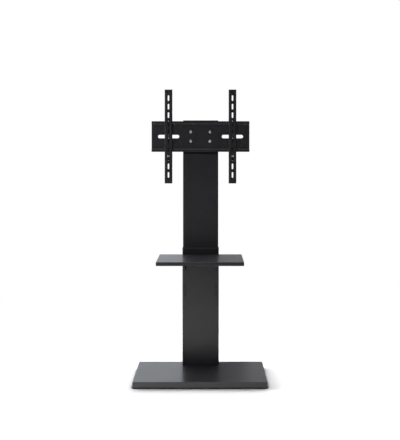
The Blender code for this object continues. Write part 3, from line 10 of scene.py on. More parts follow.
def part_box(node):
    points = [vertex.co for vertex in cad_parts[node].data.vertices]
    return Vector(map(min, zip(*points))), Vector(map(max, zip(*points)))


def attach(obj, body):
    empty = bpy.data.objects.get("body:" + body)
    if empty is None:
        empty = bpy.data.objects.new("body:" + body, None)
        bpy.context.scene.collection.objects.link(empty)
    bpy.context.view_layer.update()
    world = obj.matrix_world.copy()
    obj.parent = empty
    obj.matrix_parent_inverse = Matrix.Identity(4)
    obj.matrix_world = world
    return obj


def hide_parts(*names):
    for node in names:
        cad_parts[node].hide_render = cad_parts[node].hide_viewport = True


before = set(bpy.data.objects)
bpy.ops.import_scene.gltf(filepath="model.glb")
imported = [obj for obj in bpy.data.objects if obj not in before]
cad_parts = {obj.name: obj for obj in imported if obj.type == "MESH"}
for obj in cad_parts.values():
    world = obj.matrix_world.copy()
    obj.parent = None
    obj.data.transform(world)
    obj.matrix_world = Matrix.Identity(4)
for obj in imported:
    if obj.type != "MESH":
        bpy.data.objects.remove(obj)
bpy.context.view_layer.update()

# ---------------------------------------------------------------------------------------------
# Camera: a long lens a little over four metres in front, level with the mast's upper third.
# Its shift frames the stand as a product shot does, low in the picture and with level verticals.
camera_data = bpy.data.cameras.new("camera")
camera_data.lens = 74.1
camera_data.sensor_width = 36
camera_data.shift_x = -0.0205
camera_data.shift_y = -0.15
camera = bpy.data.objects.new("camera", camera_data)
camera.location = (0.040, -4.183, 1.033)
camera.rotation_euler = (math.radians(90), 0, 0)
bpy.context.scene.collection.objects.link(camera)
bpy.context.scene.camera = camera

# ---------------------------------------------------------------------------------------------
# Studio: a white sweep under a sky that is bright behind the stand and to its left and dim on the camera's
# side, with a bright card behind it on the left and a dark flag beside that for its reflections. The
# sweep's own falloff and its shadow beside the stand are painted light.
bpy.context.scene.view_settings.view_transform = "Standard"


def shade(tree, kind, inputs=None, **settings):
    """A shader node with its settings, whose inputs take values or other nodes' outputs."""
    made = tree.nodes.new("ShaderNode" + kind)
    for setting, value in settings.items():
        setattr(made, setting, value)
    for socket, value in (inputs or {}).items():
        if isinstance(value, bpy.types.NodeSocket):
            tree.links.new(value, made.inputs[socket])
        else:
            made.inputs[socket].default_value = value
    return made


def ranged(tree, value, low, high, to_low=0.0, to_high=1.0, **settings):
    """A value spread from one range to another and held at its ends."""
    return shade(tree, "MapRange", {"Value": value, "From Min": low, "From Max": high,
                                    "To Min": to_low, "To Max": to_high}, **settings).outputs[0]


def reckoned(tree, operation, *values, kind="Math"):
    """The result of a sum on values, or on vectors where the kind is VectorMath."""
    return shade(tree, kind, dict(enumerate(values)), operation=operation).outputs["Value"]


world = bpy.data.worlds.new("studio_sky")
bpy.context.scene.world = world
world.use_nodes = True
sky = world.node_tree
sky.nodes.clear()
sky_way = shade(sky, "TexCoord").outputs["Generated"]
sky_side = reckoned(sky, "DOT_PRODUCT", sky_way, (-1.0, 0.15, 0.0), kind="VectorMath")
sky_level = ranged(sky, sky_side, -0.30, 0.62, 0.05, 0.78)
sky_tint = ranged(sky, sky_side, 0.0, 0.3)
sky_colour = shade(sky, "MixRGB", {"Fac": sky_tint, "Color1": (1, 0.965, 0.98, 1),
                                   "Color2": (0.93, 0.975, 1, 1)}).outputs[0]
sky_height = shade(sky, "SeparateXYZ", {0: sky_way}).outputs["Z"]
sky_above = ranged(sky, sky_height, 0.60, 0.95, interpolation_type="SMOOTHSTEP")
sky_strength = reckoned(sky, "ADD", sky_level, sky_above)
sky_room = shade(sky, "Background", {"Color": sky_colour, "Strength": sky_strength})
sky_behind = reckoned(sky, "DOT_PRODUCT", sky_way, (-0.35, 1.0, 0.0), kind="VectorMath")
sky_back = ranged(sky, sky_behind, -0.1, 0.5, interpolation_type="SMOOTHSTEP")
sky_low = ranged(sky, sky_height, 0.72, 0.42, interpolation_type="SMOOTHSTEP")
sky_wall = reckoned(sky, "MULTIPLY", sky_back, sky_low)
sky_glow = reckoned(sky, "MULTIPLY_ADD", sky_wall, 6.0, 0.12)
sky_fill = shade(sky, "Background", {"Color": (0.98, 0.99, 1, 1), "Strength": sky_glow})
sky_white = shade(sky, "Background", {"Color": (1, 1, 1, 1), "Strength": 1})
sky_path = shade(sky, "LightPath").outputs
sky_mirrored = reckoned(sky, "MAXIMUM", sky_path["Is Glossy Ray"], sky_path["Is Transmission Ray"])
sky_lit = shade(sky, "MixShader", {0: sky_mirrored, 1: sky_fill.outputs[0], 2: sky_room.outputs[0]})
sky_mix = shade(sky, "MixShader", {0: sky_path["Is Camera Ray"], 1: sky_lit.outputs[0],
                                   2: sky_white.outputs[0]})
shade(sky, "OutputWorld", {"Surface": sky_mix.outputs[0]})

floor_mesh = bpy.data.meshes.new("studio_floor")
floor_mesh.from_pydata([(-30, -30, 0), (30, -30, 0), (30, 30, 0), (-30, 30, 0)], [], [(0, 1, 2, 3)])
floor = bpy.data.objects.new("studio_floor", floor_mesh)
bpy.context.scene.collection.objects.link(floor)
floor_material = bpy.data.materials.new("studio_floor")
floor_material.use_nodes = True
sweep = floor_material.node_tree
sweep.nodes.remove(sweep.nodes["Principled BSDF"])
sweep_path = shade(sweep, "LightPath").outputs
sweep_direct = reckoned(sweep, "MAXIMUM", sweep_path["Is Camera Ray"], sweep_path["Is Glossy Ray"])
sweep_any = reckoned(sweep, "MAXIMUM", sweep_direct, sweep_path["Is Transmission Ray"])
sweep_place = shade(sweep, "NewGeometry").outputs["Position"]
sweep_far = reckoned(sweep, "LENGTH", sweep_place, kind="VectorMath")
sweep_fade = ranged(sweep, sweep_far, 0.7, 2.6, interpolation_type="SMOOTHSTEP")
sweep_amount = reckoned(sweep, "MULTIPLY", sweep_any, sweep_fade)
# Painted light: for every ray but the camera's, the floor's colour is lighter to the left and darker to the
# right and towards the camera.
sweep_front = reckoned(sweep, "DOT_PRODUCT", sweep_place, (-0.4, 1.0, 0.0), kind="VectorMath")
sweep_edge = ranged(sweep, sweep_front, -4.2, -1.4, 0.30, 1.0, interpolation_type="SMOOTHSTEP")
sweep_across = shade(sweep, "SeparateXYZ", {0: sweep_place}).outputs["X"]
sweep_side = ranged(sweep, sweep_across, -0.5, 0.5, 1.3, 0.7)
sweep_painted_falloff = reckoned(sweep, "MULTIPLY", sweep_edge, sweep_side)
sweep_level = shade(sweep, "MixRGB", {"Fac": sweep_path["Is Camera Ray"], "Color1": sweep_painted_falloff,
                                      "Color2": (1, 1, 1, 1)}).outputs[0]
sweep_tone = ranged(sweep, sweep_any, 0.0, 1.0, 0.93, 1.20)
sweep_colour = reckoned(sweep, "MULTIPLY", sweep_tone, sweep_level)
# Ambient occlusion darkens the floor close to the stand: a painted contact shadow.
sweep_touch = shade(sweep, "AmbientOcclusion", {"Distance": 0.04}, samples=8).outputs["AO"]
sweep_painted_contact_shadow = ranged(sweep, sweep_touch, 0.52, 0.76, 0.02, 1.0)
sweep_shaded = reckoned(sweep, "MULTIPLY", sweep_colour, sweep_painted_contact_shadow)
sweep_paint = shade(sweep, "BsdfDiffuse", {"Color": sweep_shaded})
sweep_white = shade(sweep, "Emission", {"Color": (1, 1, 1, 1), "Strength": sweep_level})
sweep_mix = shade(sweep, "MixShader", {0: sweep_amount, 1: sweep_paint.outputs[0],
                                       2: sweep_white.outputs[0]})
sweep.links.new(sweep_mix.outputs[0], sweep.nodes["Material Output"].inputs["Surface"])
floor_mesh.materials.append(floor_material)


def studio_card(name, left, right, top, strength):
    """A standing card behind the stand that only reflections show."""
    foot, behind = 0.01, 1.3
    mesh = bpy.data.meshes.new(name)
    mesh.from_pydata([(left, behind, foot), (right, behind, foot), (right, behind, top),
                      (left, behind, top)], [], [(0, 1, 2, 3)])
    card = bpy.data.objects.new(name, mesh)
    bpy.context.scene.collection.objects.link(card)
    material = bpy.data.materials.new(name)
    material.use_nodes = True
    tree = material.node_tree
    tree.nodes.clear()
    glow = shade(tree, "Emission", {"Color": (0.89, 0.95, 1, 1), "Strength": strength})
    shade(tree, "OutputMaterial", {"Surface": glow.outputs[0]})
    mesh.materials.append(material)
    card.visible_camera = card.visible_diffuse = card.visible_shadow = False


studio_card("reflector_card", left=-2.6, right=-0.02, top=1.9, strength=0.83)
studio_card("flag_card", left=-0.02, right=0.26, top=0.58, strength=0.09)

sun_light = bpy.data.lights.new("key_sun", "SUN")
sun_light.energy = 0.35
sun_light.angle = math.radians(40)
sun = bpy.data.objects.new("key_sun", sun_light)
sun.location = (-1.2, -2.6, 3.6)
sun_aim = Vector((0, 0, 0.5))
sun.rotation_euler = (sun_aim - sun.location).to_track_quat("-Z", "Y").to_euler()
sun.visible_camera = False
bpy.context.scene.collection.objects.link(sun)

# ---------------------------------------------------------------------------------------------
# Base cover: a tray of 2 mm steel, deep drawn with slanted sides, powder coated in charcoal.
# Four screws hold it down over the base plate, and the column stands up through its opening.


def socket_group(name, inputs, outputs):
    """An empty shader node group with named inputs and outputs, and its two end nodes."""
    group = bpy.data.node_groups.new(name, "ShaderNodeTree")
    for label, kind, value in inputs:
        group.interface.new_socket(label, in_out="INPUT", socket_type=kind).default_value = value
    for label, kind in outputs:
        group.interface.new_socket(label, in_out="OUTPUT", socket_type=kind)
    return group, group.nodes.new("NodeGroupInput"), group.nodes.new("NodeGroupOutput")


edge_wear, wear_in, wear_out = socket_group(
    "edge_wear",
    [("Width", "NodeSocketFloat", 0.0006), ("Patch Scale", "NodeSocketFloat", 60.0)],
    [("Mask", "NodeSocketFloat")])
wear_bevel = shade(edge_wear, "Bevel", {"Radius": wear_in.outputs["Width"]}, samples=4).outputs[0]
wear_facing = shade(edge_wear, "NewGeometry").outputs["Normal"]
wear_match = reckoned(edge_wear, "DOT_PRODUCT", wear_bevel, wear_facing, kind="VectorMath")
wear_edge = ranged(edge_wear, wear_match, 0.995, 0.90)
wear_place = shade(edge_wear, "TexCoord").outputs["Object"]
wear_patches = shade(edge_wear, "TexNoise", {"Vector": wear_place, "Detail": 5.0, "Roughness": 0.65,
                                             "Scale": wear_in.outputs["Patch Scale"]}).outputs["Fac"]
wear_spots = ranged(edge_wear, wear_patches, 0.42, 0.62, 0.25, 1.0)
wear_mask = reckoned(edge_wear, "MULTIPLY", wear_edge, wear_spots)
edge_wear.links.new(wear_mask, wear_out.inputs["Mask"])

coat_texture_and_shade, coat_in, coat_out = socket_group(
    "coat_texture_and_shade",
    [("Colour", "NodeSocketColor", (0.5, 0.5, 0.5, 1)),
     ("Worn Colour", "NodeSocketColor", (0.5, 0.5, 0.5, 1)),
     ("Wear", "NodeSocketFloat", 0.0), ("Mottle", "NodeSocketFloat", 0.08),
     ("Roughness", "NodeSocketFloat", 0.4), ("Smudge", "NodeSocketFloat", 0.05),
     ("Peel Scale", "NodeSocketFloat", 700.0)],
    [("Colour", "NodeSocketColor"), ("Roughness", "NodeSocketFloat"), ("Height", "NodeSocketFloat")])
coat_place = shade(coat_texture_and_shade, "TexCoord").outputs["Object"]
coat_cloud = shade(coat_texture_and_shade, "TexNoise", {"Vector": coat_place, "Scale": 9.0, "Detail": 4.0,
                                              "Roughness": 0.55}).outputs["Fac"]
coat_fleck = shade(coat_texture_and_shade, "TexNoise", {"Vector": coat_place, "Scale": coat_in.outputs["Peel Scale"],
                                              "Detail": 2.0}).outputs["Fac"]
coat_shift = ranged(coat_texture_and_shade, coat_cloud, 0.3, 0.7, -1.0, 1.0)
coat_mottle = reckoned(coat_texture_and_shade, "MULTIPLY_ADD", coat_shift, coat_in.outputs["Mottle"], 1.0)
coat_tone = shade(coat_texture_and_shade, "HueSaturation", {"Value": coat_mottle, "Color": coat_in.outputs["Colour"]})
coat_worn = shade(coat_texture_and_shade, "MixRGB", {"Fac": coat_in.outputs["Wear"], "Color1": coat_tone.outputs[0],
                                           "Color2": coat_in.outputs["Worn Colour"]})
coat_gloss = reckoned(coat_texture_and_shade, "MULTIPLY_ADD", coat_shift, coat_in.outputs["Smudge"],
                      coat_in.outputs["Roughness"])
# Ambient occlusion darkens the colour almost to black in slots, holes and tight corners: painted shade. The
# same mask also makes the coat rougher there.
coat_reach = shade(coat_texture_and_shade, "AmbientOcclusion", {"Distance": 0.06}, samples=8).outputs["AO"]
coat_crevice = ranged(coat_texture_and_shade, coat_reach, 0.30, 0.08)
coat_painted_shade = shade(coat_texture_and_shade, "MixRGB", {"Fac": coat_crevice, "Color1": coat_worn.outputs[0],
                                            "Color2": (0.003, 0.003, 0.003, 1)})
coat_dull = reckoned(coat_texture_and_shade, "MULTIPLY_ADD", coat_crevice, 0.6, coat_gloss)
coat_texture_and_shade.links.new(coat_painted_shade.outputs[0], coat_out.inputs["Colour"])
coat_texture_and_shade.links.new(coat_dull, coat_out.inputs["Roughness"])
coat_texture_and_shade.links.new(coat_fleck, coat_out.inputs["Height"])


def coated(name, colour, worn_colour, roughness, wear=0.5, mottle=0.08, smudge=0.04, peel_scale=700.0,
           peel_height=0.00006, metallic=0.0, ior=1.5):
    """A finish with its fine surface texture, slight clouding, worn edges and painted shade in its hollows.
    """
    material = bpy.data.materials.new(name)
    material.use_nodes = True
    tree = material.node_tree
    worn = shade(tree, "Group", node_tree=edge_wear).outputs["Mask"]
    texture = shade(tree, "Group", {"Colour": (*colour, 1), "Worn Colour": (*worn_colour, 1),
                                    "Wear": reckoned(tree, "MULTIPLY", worn, wear), "Mottle": mottle,
                                    "Roughness": roughness, "Smudge": smudge, "Peel Scale": peel_scale},
                    node_tree=coat_texture_and_shade).outputs
    relief = shade(tree, "Bump", {"Height": texture["Height"], "Distance": peel_height, "Strength": 0.5})
    shader = tree.nodes["Principled BSDF"]
    tree.links.new(texture["Colour"], shader.inputs["Base Color"])
    tree.links.new(texture["Roughness"], shader.inputs["Roughness"])
    tree.links.new(relief.outputs["Normal"], shader.inputs["Normal"])
    shader.inputs["Metallic"].default_value = metallic
    shader.inputs["IOR"].default_value = ior
    return material


# The base cover's copy of the charcoal powder coat is darker than the column's: painted shade. Its higher
# IOR makes it reflect more strongly.
base_cover_shaded_coat = coated("charcoal_base_coat_painted_shade", (0.0085, 0.0070, 0.0105), (0.16, 0.16, 0.165), 0.30, wear=0.30,
                   smudge=0.02, peel_height=0.000015, ior=1.85)


def rounded(corners, radii, step=math.radians(9)):
    """A closed outline, anticlockwise, with its corners turned into arcs; radius 0 keeps one sharp."""
    points = []
    for index, corner in enumerate(corners):
        here, radius = Vector(corner), radii[index]
        if radius <= 0:
            points.append(here)
            continue
        back = (Vector(corners[index - 1]) - here).normalized()
        ahead = (Vector(corners[(index + 1) % len(corners)]) - here).normalized()
        half = back.angle(ahead) / 2
        centre = here + (back + ahead).normalized() * (radius / math.sin(half))
        first = here + back * (radius / math.tan(half)) - centre
        last = here + ahead * (radius / math.tan(half)) - centre
        sweep = math.atan2(first.x * last.y - first.y * last.x, first.dot(last))
        start = math.atan2(first.y, first.x)
        count = max(2, math.ceil(abs(sweep) / step - 0.01))
        points += [centre + Vector((math.cos(start + sweep * turn / count),
                                    math.sin(start + sweep * turn / count))) * radius
                   for turn in range(count + 1)]
    return points


def oblong(width, height, radius, centre):
    """A rectangle with round corners, as an outline."""
    least_flat = 1e-5
    radius = min(radius, width / 2 - least_flat, height / 2 - least_flat)
    return rounded([(centre[0] + side * width / 2, centre[1] + rise * height / 2)
                    for side, rise in ((-1, -1), (1, -1), (1, 1), (-1, 1))], [radius] * 4)


def loft_between(solid, lower, upper):
    """Faces between two rings of vertices that are already there."""
    for index in range(len(lower)):
        after = (index + 1) % len(lower)
        solid.faces.new((lower[index], lower[after], upper[after], upper[index]))


def loft(solid, rings):
    """Faces between one ring of places and the next, in a bmesh; returns the rings' vertices."""
    laid_out = [[solid.verts.new(place) for place in ring] for ring in rings]
    for lower, upper in zip(laid_out, laid_out[1:]):
        loft_between(solid, lower, upper)
    return laid_out


def stepped(solid, width, depth, corner, steps, middle=(0, 0), least=0.0006):
    """Faces between oblongs drawn in by each step's inset, at its level; returns their vertices."""
    return loft(solid, [[(place.x, place.y, level) for place in
                         oblong(width - 2 * inset, depth - 2 * inset, max(corner - inset, least), middle)]
                        for inset, level in steps])


def cap(solid, *loops):
    """Close the area between an outer loop of vertices and any loops of holes in it."""
    edges = []
    for loop in loops:
        for index, corner in enumerate(loop):
            after = loop[(index + 1) % len(loop)]
            edges.append(solid.edges.get((corner, after)) or solid.edges.new((corner, after)))
    bmesh.ops.triangle_fill(solid, edges=edges, use_beauty=True, use_dissolve=False)


def faced_out(solid):
    """Turn the faces of each closed shell outwards, by the sign of the volume that they enclose."""
    bmesh.ops.recalc_face_normals(solid, faces=solid.faces)
    solid.normal_update()
    waiting = set(solid.faces)
    while waiting:
        shell, reached = set(), {waiting.pop()}
        while reached:
            shell |= reached
            reached = {near for face in reached for edge in face.edges for near in edge.link_faces} - shell
        waiting -= shell
        if sum(face.calc_area() * face.normal.dot(face.calc_center_median()) for face in shell) < 0:
            bmesh.ops.reverse_faces(solid, faces=list(shell))


def shaped(name, solid, material, body, node, sharp=35):
    """A finished piece from a bmesh: shaded, given its finish and hung on its body of the frame."""
    faced_out(solid)
    mesh = bpy.data.meshes.new(name)
    solid.to_mesh(mesh)
    solid.free()
    mesh.shade_smooth()
    mesh.set_sharp_from_angle(angle=math.radians(sharp))
    mesh.materials.append(material)
    piece = bpy.data.objects.new(name, mesh)
    bpy.context.scene.collection.objects.link(piece)
    piece.modifiers.new("even_shading", "WEIGHTED_NORMAL").keep_sharp = True
    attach(piece, body)
    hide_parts(node)
    return piece


def round_over(inset, level, radius, turn, steps=5):
    """Profile places (inset, level) that round an edge by a quarter turn, from its side to its top."""
    return [(inset + radius * (1 - math.cos(math.radians(90) * step / steps)),
             level + turn * radius * (math.sin(math.radians(90) * step / steps) - 1))
            for step in range(steps + 1)]


def centre_of(node):
    """The middle of a CAD node's box."""
    low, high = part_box(node)
    return (low + high) / 2


def make_base_cover():
    width, depth, corner = 0.600, 0.400, 0.006
    skirt, top, sheet, slant, edge, bend = 0.0047, 0.0295, 0.002, 0.0027, 0.0026, 0.0006

    def side(level):
        return slant * (level - skirt) / (top - skirt)

    outside = [(side(skirt), skirt)] + round_over(side(top - edge), top, edge, 1)
    inside = [(side(skirt) + sheet, skirt), (side(top - sheet) + sheet, top - sheet - bend),
              (side(top - sheet) + sheet + bend, top - sheet)]
    solid = bmesh.new()
    outer = stepped(solid, width, depth, corner, outside)
    inner = stepped(solid, width, depth, corner, inside)
    loft_between(solid, inner[0], outer[0])
    opening = [(-bend, top), (0, top - bend), (0, top - sheet + bend / 2), (-bend / 2, top - sheet)]
    hole = stepped(solid, 0.174, 0.065, 0.0055, opening, (0, centre_of("lower_column").y))
    cap(solid, outer[-1], hole[0])
    cap(solid, inner[-1], hole[-1])
    shaped("base_cover_pressing", solid, base_cover_shaded_coat, "base", "base_cover")


make_base_cover()

# ---------------------------------------------------------------------------------------------
# Base plate, the column's foot flange, their bolts and the cover's screws: heavy steel cut and
# left dark from the mill, with zinc-plated fasteners. They are hidden under the cover.
mill_steel = coated("dark_mill_steel", (0.075, 0.075, 0.080), (0.30, 0.29, 0.28), 0.44, mottle=0.3,
                    smudge=0.10, peel_scale=260.0, peel_height=0.00004, metallic=0.85)
zinc_plate = coated("zinc_plating", (0.60, 0.60, 0.58), (0.70, 0.69, 0.66), 0.30, wear=0.3, mottle=0.12,
                    smudge=0.08, peel_scale=1400.0, peel_height=0.00002, metallic=1.0)


def keep_node(node, material):
    """Leave a CAD node as it is, with a finer finish and its sharp edges broken."""
    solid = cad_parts[node]
    for place in solid.material_slots:
        place.link = "OBJECT"
        place.material = material
    broken = solid.modifiers.new("broken_edges", "BEVEL")
    broken.width = 0.0003
    broken.segments = 2
    broken.limit_method = "ANGLE"
    broken.angle_limit = math.radians(40)
    broken.harden_normals = True


for steel_node in ("base_plate", "column_foot", "clamp_nut_bar"):
    keep_node(steel_node, mill_steel)
for number in range(1, 5):
    keep_node(f"column_bolt_{number}", zinc_plate)
    keep_node(f"cover_screw_{number}", zinc_plate)

# ---------------------------------------------------------------------------------------------
# Levelling feet: ribbed pads of black rubber moulded round the ends of M8 zinc-plated studs,
# which screw up and down in the weld nuts of the base plate.
m8_pitch = 0.00125
black_rubber = coated("black_rubber", (0.018, 0.018, 0.018), (0.055, 0.054, 0.052), 0.72, wear=0.4,
                      mottle=0.25, smudge=0.08, peel_scale=420.0, peel_height=0.00008)


def axis_frame(place, direction):
    """The frame of an axis through a place."""
    return (Matrix.Translation(place)
            @ Vector((0, 0, 1)).rotation_difference(Vector(direction)).to_matrix().to_4x4())


def ring_about(axis, reach, level, sides=48):
    """Places round an axis, whose reach and level are numbers or follow from the turn."""
    places = []
    for side in range(sides):
        turn = 2 * math.pi * side / sides
        out = reach(turn) if callable(reach) else reach
        up = level(turn) if callable(level) else level
        places.append(axis @ Vector((out * math.cos(turn), out * math.sin(turn), up)))
    return places


def rod(solid, rings):
    """A stack of rings closed at both its ends."""
    ends = loft(solid, rings)
    solid.faces.new(ends[0][::-1])
    solid.faces.new(ends[-1])


def turned(solid, profile, place, direction, sides=48):
    """Turn a profile of (radius, height) places about an axis into a bmesh, as on a lathe."""
    axis = axis_frame(place, direction)
    rings = [[solid.verts.new(spot) for spot in
              ring_about(axis, radius, height, sides if radius > 0 else 1)] for radius, height in profile]
    for lower, upper in zip(rings, rings[1:]):
        for index in range(sides):
            after = (index + 1) % sides
            corners = [lower[index % len(lower)], lower[after % len(lower)],
                       upper[after % len(upper)], upper[index % len(upper)]]
            faced = list(dict.fromkeys(corners))
            if len(faced) > 2:
                solid.faces.new(faced)


def threaded(solid, radius, low, high, pitch, place, direction, sides=24, depth=0.0006, steps=4):
    """A screw thread with chamfered ends, cut into a rod that runs along an axis."""
    axis = axis_frame(place, direction)

    def ring(height):
        crest = depth * min(1.0, (height - low) / pitch, (high - height) / pitch)

        def reach(turn):
            wave = abs(((height - low) / pitch - turn / (2 * math.pi)) % 1 - 0.5) * 2
            return radius - depth + crest * wave

        return ring_about(axis, reach, height, sides)

    rows = max(2, round((high - low) / pitch * steps))
    rod(solid, [ring(low + (high - low) * row / rows) for row in range(rows + 1)])


def make_foot(number):
    low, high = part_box(f"foot_pad_{number}")
    stud_low, stud_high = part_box(f"foot_stud_{number}")
    axis = ((low.x + high.x) / 2, (low.y + high.y) / 2, 0), (0, 0, 1)
    outer, top, socket_floor = (high.x - low.x) / 2, high.z, 0.0022
    stud_radius = (stud_high.x - stud_low.x) / 2
    socket = stud_radius + 0.0003
    profile = [(0, socket_floor), (socket, socket_floor), (socket, top - 0.0004), (socket + 0.0004, top)]
    profile += [(outer - inset, level) for inset, level in round_over(0, top, 0.0012, 1)[::-1]]
    for groove in (0.0042, 0.0028):
        profile += [(outer, groove + 0.0003), (outer - 0.0004, groove), (outer, groove - 0.0003)]
    profile += [(outer, 0.0012), (outer - 0.0004, 0.0004), (outer - 0.0012, 0), (0.0105, 0),
                (0.0100, 0.0006), (0.0072, 0.0006), (0.0067, 0), (0, 0)]
    pad = bmesh.new()
    turned(pad, profile, *axis)
    shaped(f"foot_rubber_{number}", pad, black_rubber, f"foot_{number}", f"foot_pad_{number}")
    stud = bmesh.new()
    threaded(stud, stud_radius, stud_low.z, stud_high.z, m8_pitch, *axis)
    shaped(f"foot_thread_{number}", stud, zinc_plate, f"foot_{number}", f"foot_stud_{number}",
           sharp=60)


for foot in range(1, 5):
    make_foot(foot)

# ---------------------------------------------------------------------------------------------
# Lower column: one blank of 2 mm steel with eight slots cut in it, folded into a C whose open
# side is at the rear. It is welded to its foot flange, which is bolted to the base plate.
slot_heights = (0.367, 0.400, 0.491, 0.524)
charcoal_coat = coated("charcoal_powder_coat", (0.0150, 0.0128, 0.0165), (0.16, 0.16, 0.165), 0.30,
                       wear=0.30, smudge=0.02, peel_height=0.000015, ior=1.56)


def moved_in(outline, distance):
    """An outline shifted to its left by a distance, which is into the metal that it bounds."""
    count = len(outline)
    shifted = []
    for index, here in enumerate(outline):
        before = (here - outline[index - 1]).normalized()
        after = (outline[(index + 1) % count] - here).normalized()
        left = Vector((-before.y - after.y, before.x + after.x))
        shifted.append(here + left * distance / max(0.2, 1 + before.dot(after)))
    return shifted


def turns_left(outline):
    """Whether an outline runs anticlockwise."""
    return sum(here.cross(outline[index - 1]) for index, here in enumerate(outline)) < 0


def sheet_blank(solid, outlines, low, high, edge):
    """A flat sheet in a bmesh between two levels, edges broken; later outlines are holes in it."""
    profile = [(edge, low), (edge * 0.3, low + edge * 0.3), (0, low + edge),
               (0, high - edge), (edge * 0.3, high - edge * 0.3), (edge, high)]
    lower, upper = [], []
    for number, outline in enumerate(outlines):
        line = [Vector(place) for place in outline]
        if turns_left(line) != (number == 0):
            line.reverse()
        rings = loft(solid, [[(place.x, place.y, level) for place in moved_in(line, inset)]
                             for inset, level in profile])
        lower.append(rings[0])
        upper.append(rings[-1])
    cap(solid, *lower)
    cap(solid, *upper)


def fold_line(corners, radius):
    """A folded sheet's middle line and its length: (start, length, place, direction, turn) of each
    face and fold."""
    corners = [Vector(corner) for corner in corners]
    runs = [(after - before).normalized() for before, after in zip(corners, corners[1:])]
    turns = [math.atan2(before.x * after.y - before.y * after.x, before.dot(after))
             for before, after in zip(runs, runs[1:])]
    trims = [0] + [radius * math.tan(abs(turn) / 2) for turn in turns] + [0]
    line, reached = [], 0.0
    for index, run in enumerate(runs):
        length = (corners[index + 1] - corners[index]).length - trims[index] - trims[index + 1]
        line.append((reached, length, corners[index] + run * trims[index], run, 0))
        reached += length
        if index < len(turns):
            line.append((reached, radius * abs(turns[index]), corners[index + 1] - run * trims[index + 1],
                         run, turns[index]))
            reached += radius * abs(turns[index])
    return line, reached


def on_face(line, face, distance):
    """Where a place on a folded face, measured from the face's sharp corner, lies on the flat blank."""
    start = line[2 * face][0]
    if face == 0:
        return start + distance
    length, turn = line[2 * face - 1][1], line[2 * face - 1][4]
    return start + distance - length / abs(turn) * math.tan(abs(turn) / 2)


def folded(outlines, half, line, plane, edge):
    """A sheet, cut to its outlines with x along the fold line and y across it, and then folded."""
    solid = bmesh.new()
    sheet_blank(solid, outlines, -half, half, edge)
    same = 1e-7
    for start, length, _, _, turn in line:
        if turn:
            cuts = max(2, math.ceil(abs(turn) / math.radians(12)))
            for cut in range(cuts + 1):
                bmesh.ops.bisect_plane(solid, geom=solid.verts[:] + solid.edges[:] + solid.faces[:],
                                       dist=same, plane_co=(start + length * cut / cuts, 0, 0),
                                       plane_no=(1, 0, 0))
    for corner in solid.verts:
        along, width, out = corner.co
        passed = [part for part in line if part[0] <= along + same]
        start, length, place, run, turn = passed[-1] if passed else line[0]
        left = Vector((-run.y, run.x))
        if turn:
            radius = length / abs(turn)
            side = math.copysign(1, turn)
            centre = place + left * radius * side
            arm = place + left * out - centre
            angle = (along - start) / radius * side
            cosine, sine = math.cos(angle), math.sin(angle)
            at = centre + Vector((arm.x * cosine - arm.y * sine, arm.x * sine + arm.y * cosine))
        else:
            at = place + run * (along - start) + left * out
        corner.co = {"XY": (at.x, at.y, width), "XZ": (at.x, width, at.y), "YZ": (width, at.x, at.y)}[plane]
    return solid


def make_lower_column():
    low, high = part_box("lower_column")
    sheet, inner_bend, lip, slot_span = 0.002, 0.003, 0.014, 0.147
    half = sheet / 2
    right, left, front, rear = high.x - half, low.x + half, low.y + half, high.y - half
    line, length = fold_line([(high.x - lip, rear), (right, rear), (right, front), (left, front),
                              (left, rear), (low.x + lip, rear)], inner_bend + half)
    blank = [rounded([(0, low.z), (length, low.z), (length, high.z), (0, high.z)], [0.0008] * 4)]
    for height in slot_heights:
        for side in (-1, 1):
            along = on_face(line, 2, right - side * slot_span / 2)
            blank.append(oblong(0.004, 0.018, 0.0012, (along, height)))
    solid = folded(blank, half, line, "XY", edge=0.0003)
    shaped("column_folding", solid, charcoal_coat, "base", "lower_column")


make_lower_column()

# ---------------------------------------------------------------------------------------------
# Collar: a moulding of black plastic that clips on the column's rim and rounds it off. A block
# under its front guides the mast, which runs up and down through it.
black_plastic = coated("black_moulded_plastic", (0.016, 0.016, 0.018), (0.05, 0.05, 0.052), 0.42, wear=0.3,
                       mottle=0.10, smudge=0.05, peel_scale=900.0, peel_height=0.00005)


def make_collar():
    low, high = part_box("column_collar")
    mast_low, mast_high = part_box("mast")
    strip_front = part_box("mast_front_cover")[0].y
    foot, gap, lap = high.z - 0.006, 0.0004, 0.001
    profile = [(0.0004, foot), (0, foot + 0.0004)] + round_over(0, high.z, 0.0025, 1, 8)
    solid = bmesh.new()
    outer = stepped(solid, high.x - low.x, high.y - low.y, 0.0055, profile, (0, (low.y + high.y) / 2))
    hole_low, hole_high = strip_front - gap, mast_high.y + gap
    hole = stepped(solid, mast_high.x - mast_low.x + 2 * gap, hole_high - hole_low, 0,
                   [(-0.0005, high.z), (0, high.z - 0.0006), (0, foot)], (0, (hole_low + hole_high) / 2),
                   least=0.006)
    cap(solid, outer[-1], hole[0])
    cap(solid, outer[0], hole[-1])
    guide_front, guide_back = low.y + 0.0028, strip_front - 0.0005
    guide = oblong(0.140, guide_back - guide_front, 0.001, (0, (guide_front + guide_back) / 2))
    sheet_blank(solid, [guide], low.z, foot + lap, edge=0.0004)
    shaped("collar_moulding", solid, black_plastic, "base", "column_collar")


make_collar()

# ---------------------------------------------------------------------------------------------
# Height clamp: a steel bridge over the column's open side, with two M8 hexagon bolts and their
# washers. They pull a nut bar inside the mast against its rear wall, and so hold its height.
bolt_hole = 0.0086


def stood_up(solid):
    """Turn a piece drawn in x and y so that its y points up and its z backwards."""
    for corner in solid.verts:
        corner.co = corner.co.xzy


def hexagon_reach(turn, width):
    """How far a hexagon's edge lies from its middle, at a turn."""
    sixth = math.pi / 3
    return width / 2 / math.cos((turn + sixth / 2) % sixth - sixth / 2)


